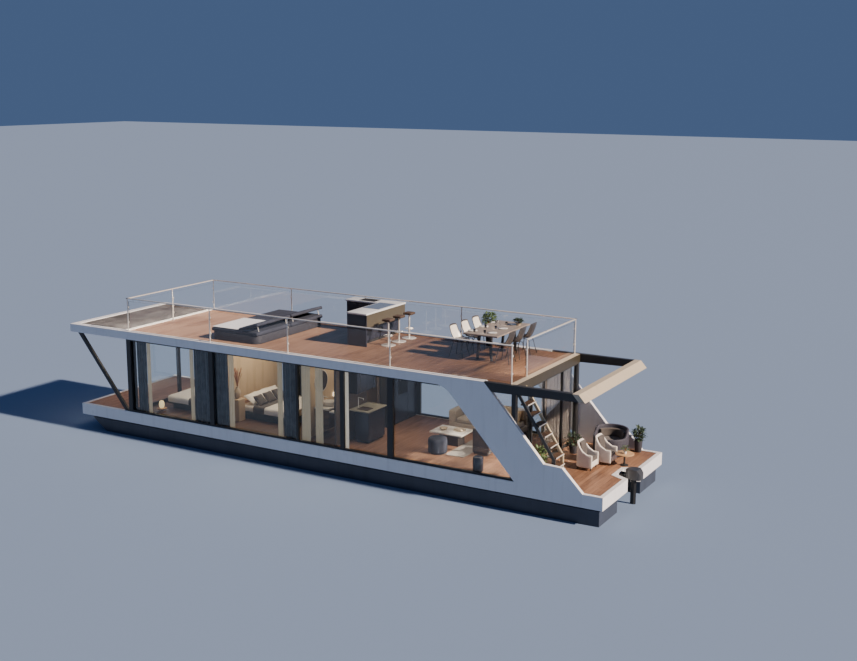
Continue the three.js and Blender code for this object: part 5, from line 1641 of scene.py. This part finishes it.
stool_leather = woven("stool_leather", (84, 66, 56), (62, 48, 40), 0.012, relief=0.3)
RING_RADIUS, RING_HEIGHT = 0.13, 0.27
stool_frames = [add_disc("stool_foot", (0, 0, boards_top - ROOF), 0.21, 0.013, 36, 0.004)]
stool_frames.append(add_bar("stool_post", (0, 0, boards_top - ROOF + 0.01), (0, 0, 0.69), 0.024, 16))
bpy.ops.object.select_all(action="DESELECT")
bpy.ops.mesh.primitive_torus_add(
    major_radius=RING_RADIUS, minor_radius=0.008, major_segments=32, minor_segments=10,
    location=(0, 0, RING_HEIGHT)
)
bpy.ops.object.transform_apply()
stool_frames.append(bpy.context.object)
for turn in range(3):
    heading = math.radians(turn * 120)
    rim = (math.cos(heading) * RING_RADIUS, math.sin(heading) * RING_RADIUS, RING_HEIGHT)
    stool_frames.append(add_bar("spoke", (0, 0, RING_HEIGHT), rim, 0.006, 8))
stool_frame = smooth(weld("stool_frame", stool_frames))
stool_seat = add_pad("stool_seat", (-0.138, -0.138, 0.685), (0.138, 0.138, 0.758), 0.03, 0.008, 10)
for number, y in enumerate((-0.30, -0.88, -1.45)):
    place = Matrix.Translation(on_roof(7.55, y))
    fit(copy_at(stool_frame, f"stool_frame_{number}", place), "steel", "roof_boards", finish=rail_steel)
    cushion = copy_at(stool_seat, f"stool_seat_{number}", place)
    fit(cushion, "cabin_oak", "roof_boards", finish=stool_leather)
for model in (stool_frame, stool_seat):
    bpy.data.objects.remove(model)

# Sunbeds: two wide beds side by side on one woven plinth with rounded corners, each with a dark mattress
# and a raised back pad, and a white sheet and a blue towel laid over the near one.
rattan, given, made = new_group(
    "rattan",
    [("Strand", "Color", tint(120, 110, 96)), ("Hollow", "Color", tint(50, 44, 38)), ("Size", "Float", 0.022)]
)
rattan_parts = add_node(rattan, "SeparateXYZ", {0: given["Position"]})
round_way = work_out(rattan, "ADD", rattan_parts.outputs[0], rattan_parts.outputs[1])
columns = work_out(rattan, "DIVIDE", round_way, given["Size"])
levels = work_out(rattan, "DIVIDE", rattan_parts.outputs[2], work_out(rattan, "MULTIPLY", given["Size"], 0.6))
column_wave = work_out(rattan, "SINE", work_out(rattan, "MULTIPLY", columns, math.pi))
level_wave = work_out(rattan, "SINE", work_out(rattan, "MULTIPLY", levels, math.pi))
strand_height = spread(rattan, work_out(rattan, "MULTIPLY", column_wave, level_wave), -0.6, 0.6, 0, 1)
strand_chance = add_node(rattan, "TexNoise", {"Vector": given["Position"], "Scale": 16.0, "Detail": 3.0})
strand_share = work_out(
    rattan, "ADD", strand_height, spread(rattan, strand_chance.outputs[0], 0.3, 0.7, -0.25, 0.25)
)
rattan.links.new(blend_colours(rattan, strand_share, given["Hollow"], given["Strand"]), made["Colour"])
rattan.links.new(spread(rattan, strand_height, 0, 1, 0.85, 0.5), made["Roughness"])
rattan.links.new(strand_height, made["Height"])
rattan_dark = new_finish(
    "rattan_dark", rattan, {"Strand": tint(66, 66, 76), "Hollow": tint(28, 28, 34)}, relief=0.8, depth=0.004
)
bed_white = woven("bed_white", (238, 240, 242), (222, 224, 228), 0.006, relief=0.25, sheen=0.2)
towel_blue = woven("towel_blue", (140, 156, 184), (120, 134, 160), 0.007, relief=0.6, sheen=0.3)
SUNBED = {"aft": 10.70, "fore": 12.45, "starboard": -1.70, "port": 1.62, "middle": -0.04, "corner": 0.22}


def corner_arc(centre, radius, start, end, steps=6):
    """Points round part of a circle, from one heading to another in degrees."""
    turns = [math.radians(start + (end - start) * step / steps) for step in range(steps + 1)]
    return [(centre[0] + radius * math.cos(turn), centre[1] + radius * math.sin(turn)) for turn in turns]


def rounded_plan(aft, fore, starboard, port, radius):
    """A rectangle on plan with round corners."""
    outline = corner_arc((fore - radius, port - radius), radius, 0, 90)
    outline += corner_arc((aft + radius, port - radius), radius, 90, 180)
    outline += corner_arc((aft + radius, starboard + radius), radius, 180, 270)
    return outline + corner_arc((fore - radius, starboard + radius), radius, 270, 360)


plinth_plan = rounded_plan(
    STERN + SUNBED["aft"] + 0.03, STERN + SUNBED["fore"] - 0.03, SUNBED["starboard"] + 0.03,
    SUNBED["port"] - 0.03, SUNBED["corner"]
)
plinth = add_plate("sunbed_plinth", plinth_plan, "xy", boards_top, ROOF + 0.225)
round_edges(plinth, 0.02, 2, lambda middle, along: abs(along.z) < 0.1)
fit(smooth(plinth, 50), "woven_dark", "sunbeds", finish=rattan_dark)
halves = (
    (SUNBED["starboard"] + 0.035, SUNBED["middle"] - 0.012),
    (SUNBED["middle"] + 0.012, SUNBED["port"] - 0.035)
)
for number, (starboard, port) in enumerate(halves):
    mattress = add_pad(
        f"sunbed_mattress_{number}", on_roof(SUNBED["aft"] + 0.04, starboard, 0.226),
        on_roof(SUNBED["fore"] - 0.04, port, 0.350), 0.045, 0.015, 16
    )
    fit(mattress, "slate_fabric", "sunbeds", finish=navy_cloth)
    back = add_pad(
        f"sunbed_back_{number}", (-0.36, starboard + 0.01, -0.05), (0.36, port - 0.01, 0.05), 0.04, 0.01, 14
    )
    back.data.transform(put(SUNBED["aft"] + 0.385, 0, ROOF + 0.462, tip=17))
    fit(back, "slate_fabric", "sunbeds", finish=navy_cloth)
stand_pieces = []
for starboard, port in halves:
    for y in (starboard + 0.15, port - 0.15):
        foot = on_roof(SUNBED["aft"] + 0.10, y, 0.34)
        head = on_roof(SUNBED["aft"] + 0.14, y, 0.505)
        stand_pieces.append(add_bar("stay", foot, head, 0.012, 12))
fit(smooth(weld("sunbed_stays", stand_pieces)), "steel", "sunbeds", finish=rail_steel)
SHEET_PLAN = (STERN + SUNBED["fore"] - 1.0, 0.10, STERN + SUNBED["fore"] - 0.07, SUNBED["port"] - 0.06)
aft, starboard, fore, port = SHEET_PLAN
sheet = add_cover("sunbed_sheet", (aft, starboard, ROOF), (fore, port, ROOF + 0.353), 0.0, 0.006, 17)
fit(sheet, "linen", finish=bed_white)
towel = add_cover("sunbed_towel", (aft - 0.44, 0.62, ROOF), (aft - 0.03, port, ROOF + 0.353), 0.0, 0.006, 31)
fit(towel, "slate_fabric", finish=towel_blue)

# Lounge chairs on the stern deck: two tub shells in cream with dark loose cushions. Each shell is a curved
# wall, higher at the back, round a seat block.
shell_cream = woven("shell_cream", (238, 232, 224), (218, 210, 200), 0.006, relief=0.4, sheen=0.2)
cushion_dark = woven("cushion_dark", (92, 84, 78), (62, 56, 54), 0.006, relief=0.4, sheen=0.2)


def add_curved_wall(name, path, thick, low, heights, levels=5, rounding=0.02):
    """A standing wall along a path on plan, its top at the heights given along it, with a round edge."""
    steps = len(path) - 1
    wall = add_grid(name, steps, levels)
    for corner in wall.data.vertices:
        place = (corner.co.x + 1) / 2 * steps
        index = min(steps, round(place))
        share = (corner.co.y + 1) / 2
        corner.co = (path[index][0], path[index][1], low + (heights[index] - low) * share)
    apply_modifier(wall, "SOLIDIFY", thickness=thick, offset=0, use_even_offset=True)
    apply_modifier(
        wall, "BEVEL", width=rounding, segments=3, limit_method="ANGLE", angle_limit=math.radians(50)
    )
    return smooth(wall, 50)


def lounge_chair(name, from_stern, y, half):
    """One lounge chair, open towards the stern."""
    x = STERN + from_stern
    wall = 0.055
    inner = half - wall / 2
    radius = 0.12
    path = [(x - half + 0.01, y + inner), (x - half * 0.4, y + inner), (x + inner - radius - 0.06, y + inner)]
    path += corner_arc((x + inner - radius, y + inner - radius), radius, 90, 0)
    path += corner_arc((x + inner - radius, y - inner + radius), radius, 0, -90)
    path += [
        (x + inner - radius - 0.06, y - inner), (x - half * 0.4, y - inner), (x - half + 0.01, y - inner)
    ]
    heights = []
    for spot in path:
        share = max(0.0, min(1.0, (spot[0] - (x - half * 0.3)) / (half * 1.1)))
        heights.append(deck_top + 0.42 + 0.315 * share**1.5)
    shell = add_curved_wall(name + "_shell", path, wall - 0.004, deck_top + 0.07, heights)
    seat_block = add_block(
        "seat", (x - half + 0.02, y - inner + 0.02, deck_top + 0.09),
        (x + inner - 0.02, y + inner - 0.02, deck_top + 0.23)
    )
    round_edges(seat_block, 0.01, 2)
    fit(weld(name + "_shell", [shell, seat_block]), "linen", name, finish=shell_cream)
    feet = [
        add_disc("foot", (x + a * (half - 0.06), y + b * (half - 0.06), deck_top), 0.014, 0.10, 12)
        for a in (-1, 1)
        for b in (-1, 1)
    ]
    fit(smooth(weld(name + "_feet", feet)), "steel", name, finish=frame_black)
    seat_low = (x - half + 0.012, y - inner + 0.03, deck_top + 0.23)
    seat_high = (x + inner - 0.09, y + inner - 0.03, deck_top + 0.335)
    seat = swell_up(add_pad(name + "_seat", seat_low, seat_high, 0.03, 0.012), 0.014, 0.004)
    fit(seat, "slate_fabric", name, finish=cushion_dark)
    back = add_pad(name + "_back", (-0.05, y - inner + 0.04, 0), (0.05, y + inner - 0.04, 0.38), 0.035, 0.01)
    back.data.transform(put(from_stern + inner - 0.115, 0, deck_top + 0.335, tip=8))
    swell_up(back, 0.014, 0.004)
    fit(back, "slate_fabric", name, finish=cushion_dark)


lounge_chair("lounge_chair_port", 1.25, 0.13, 0.24)
lounge_chair("lounge_chair_middle", 1.01, -0.54, 0.25)

# Tub sofa: a round dark lilac-grey woven wall, higher round its starboard half, about a deep dark seat
# cushion, with a back roll laid against the wall.
lilac_weave = new_finish(
    "lilac_weave", rattan, {"Strand": tint(74, 72, 84), "Hollow": tint(46, 45, 54)}, relief=0.6, depth=0.004
)
TUB = (STERN + 1.2, -1.40)
tub_path = corner_arc(TUB, 0.443, 0, -360, 56)
tub_heights = []
for step in range(57):
    rise_share = max(0.0, min(1.0, 0.5 + 1.6 * math.sin(math.radians(360 * step / 56))))
    tub_heights.append(deck_top + 0.495 + 0.20 * rise_share**2 * (3 - 2 * rise_share))
tub_wall = add_curved_wall("tub_wall", tub_path, 0.066, deck_top + 0.02, tub_heights, 6, 0.024)
tub_base = add_turned(
    "tub_base", (*TUB, deck_top), [(0.40, 0), (0.405, 0.01), (0.41, 0.04), (0.41, 0.19), (0.40, 0.20)], 48
)
fit(weld("tub_sofa_frame", [tub_wall, smooth(tub_base, 40)]), "woven_dark", "tub_sofa", finish=lilac_weave)
seat_outline = [
    (0.36, 0), (0.39, 0.012), (0.405, 0.04), (0.405, 0.12), (0.39, 0.162), (0.34, 0.175), (0.12, 0.179)
]
tub_seat = smooth(add_turned("tub_seat", (*TUB, deck_top + 0.2), seat_outline, 44), 60)
fit(tub_seat, "slate_fabric", "tub_sofa", finish=cushion_dark)
tub_roll_path = corner_arc(TUB, 0.36, -14, -166, 22)
tub_roll = add_curved_wall("tub_roll", tub_roll_path, 0.085, deck_top + 0.37, [deck_top + 0.60] * 23, 5, 0.03)
fit(tub_roll, "slate_fabric", "tub_sofa", finish=cushion_dark)

# Low table between the chairs: a round tan top on a turned stem and foot, with a small leafy pot on it.
table_tan = grained("table_tan", (216, 178, 130), (176, 134, 90), 0.4, relief=0.3)
LOW = (STERN + 0.49, -0.58)
low_top = add_disc("low_top", (*LOW, deck_top + 0.30), 0.25, 0.03, 48, 0.008)
fit(smooth(low_top, 40), "woven_dark", "low_table", finish=table_tan)
stem_outline = [(0.11, 0), (0.112, 0.01), (0.10, 0.02), (0.03, 0.035), (0.025, 0.10), (0.025, 0.24)]
stem_outline += [(0.06, 0.29), (0.08, 0.3005)]
low_stem = add_turned("low_stem", (*LOW, deck_top), stem_outline, 36)
fit(smooth(low_stem, 40), "woven_dark", "low_table", finish=frame_black)
add_plant(
    "low_table_plant", (LOW[0] - 0.03, LOW[1] + 0.05, deck_top + 0.3302), 0.045, 0.07, 0.14, 0.09, 0.05, 60,
    41, leaf_green, porcelain
)

# Free-standing plants: a dark bush in a pot by the starboard rim, one before the aft wall, and a paler one by
# the foot of the stair.
planter_pale = painted("planter_pale", (216, 212, 214), (170, 162, 160), 0.5, 0.35)
add_plant(
    "deck_plant_rim", on_deck(0.59, -1.88), 0.114, 0.33, 0.36, 0.15, 0.10, 200, 73, leaf_dark, pot_dark,
    "planter"
)
add_plant(
    "deck_plant_starboard", on_deck(2.05, -0.87), 0.12, 0.22, 0.34, 0.17, 0.10, 120, 71, leaf_dark, pot_dark
)
add_plant(
    "deck_plant_stair", on_deck(2.15, 1.12), 0.13, 0.26, 0.42, 0.18, 0.12, 130, 72, leaf_green, planter_pale
)

# Outboard motor: a charcoal cowl with a moulded side panel and a vent at the back, a lower cover, and the
# cast brackets, leg and propeller in the same dark paint.
motor_dark = painted("motor_dark", (52, 54, 58), (76, 74, 72), 0.3, 0.32, shine={"Coat Weight": 0.4})
motor_black = painted("motor_black", (26, 27, 29), (48, 47, 46), 0.3, 0.45)
dress(motor_black, "outboard_bracket", "outboard_swivel", "outboard_leg", "propeller")
dress(motor_dark, "outboard_cowl")
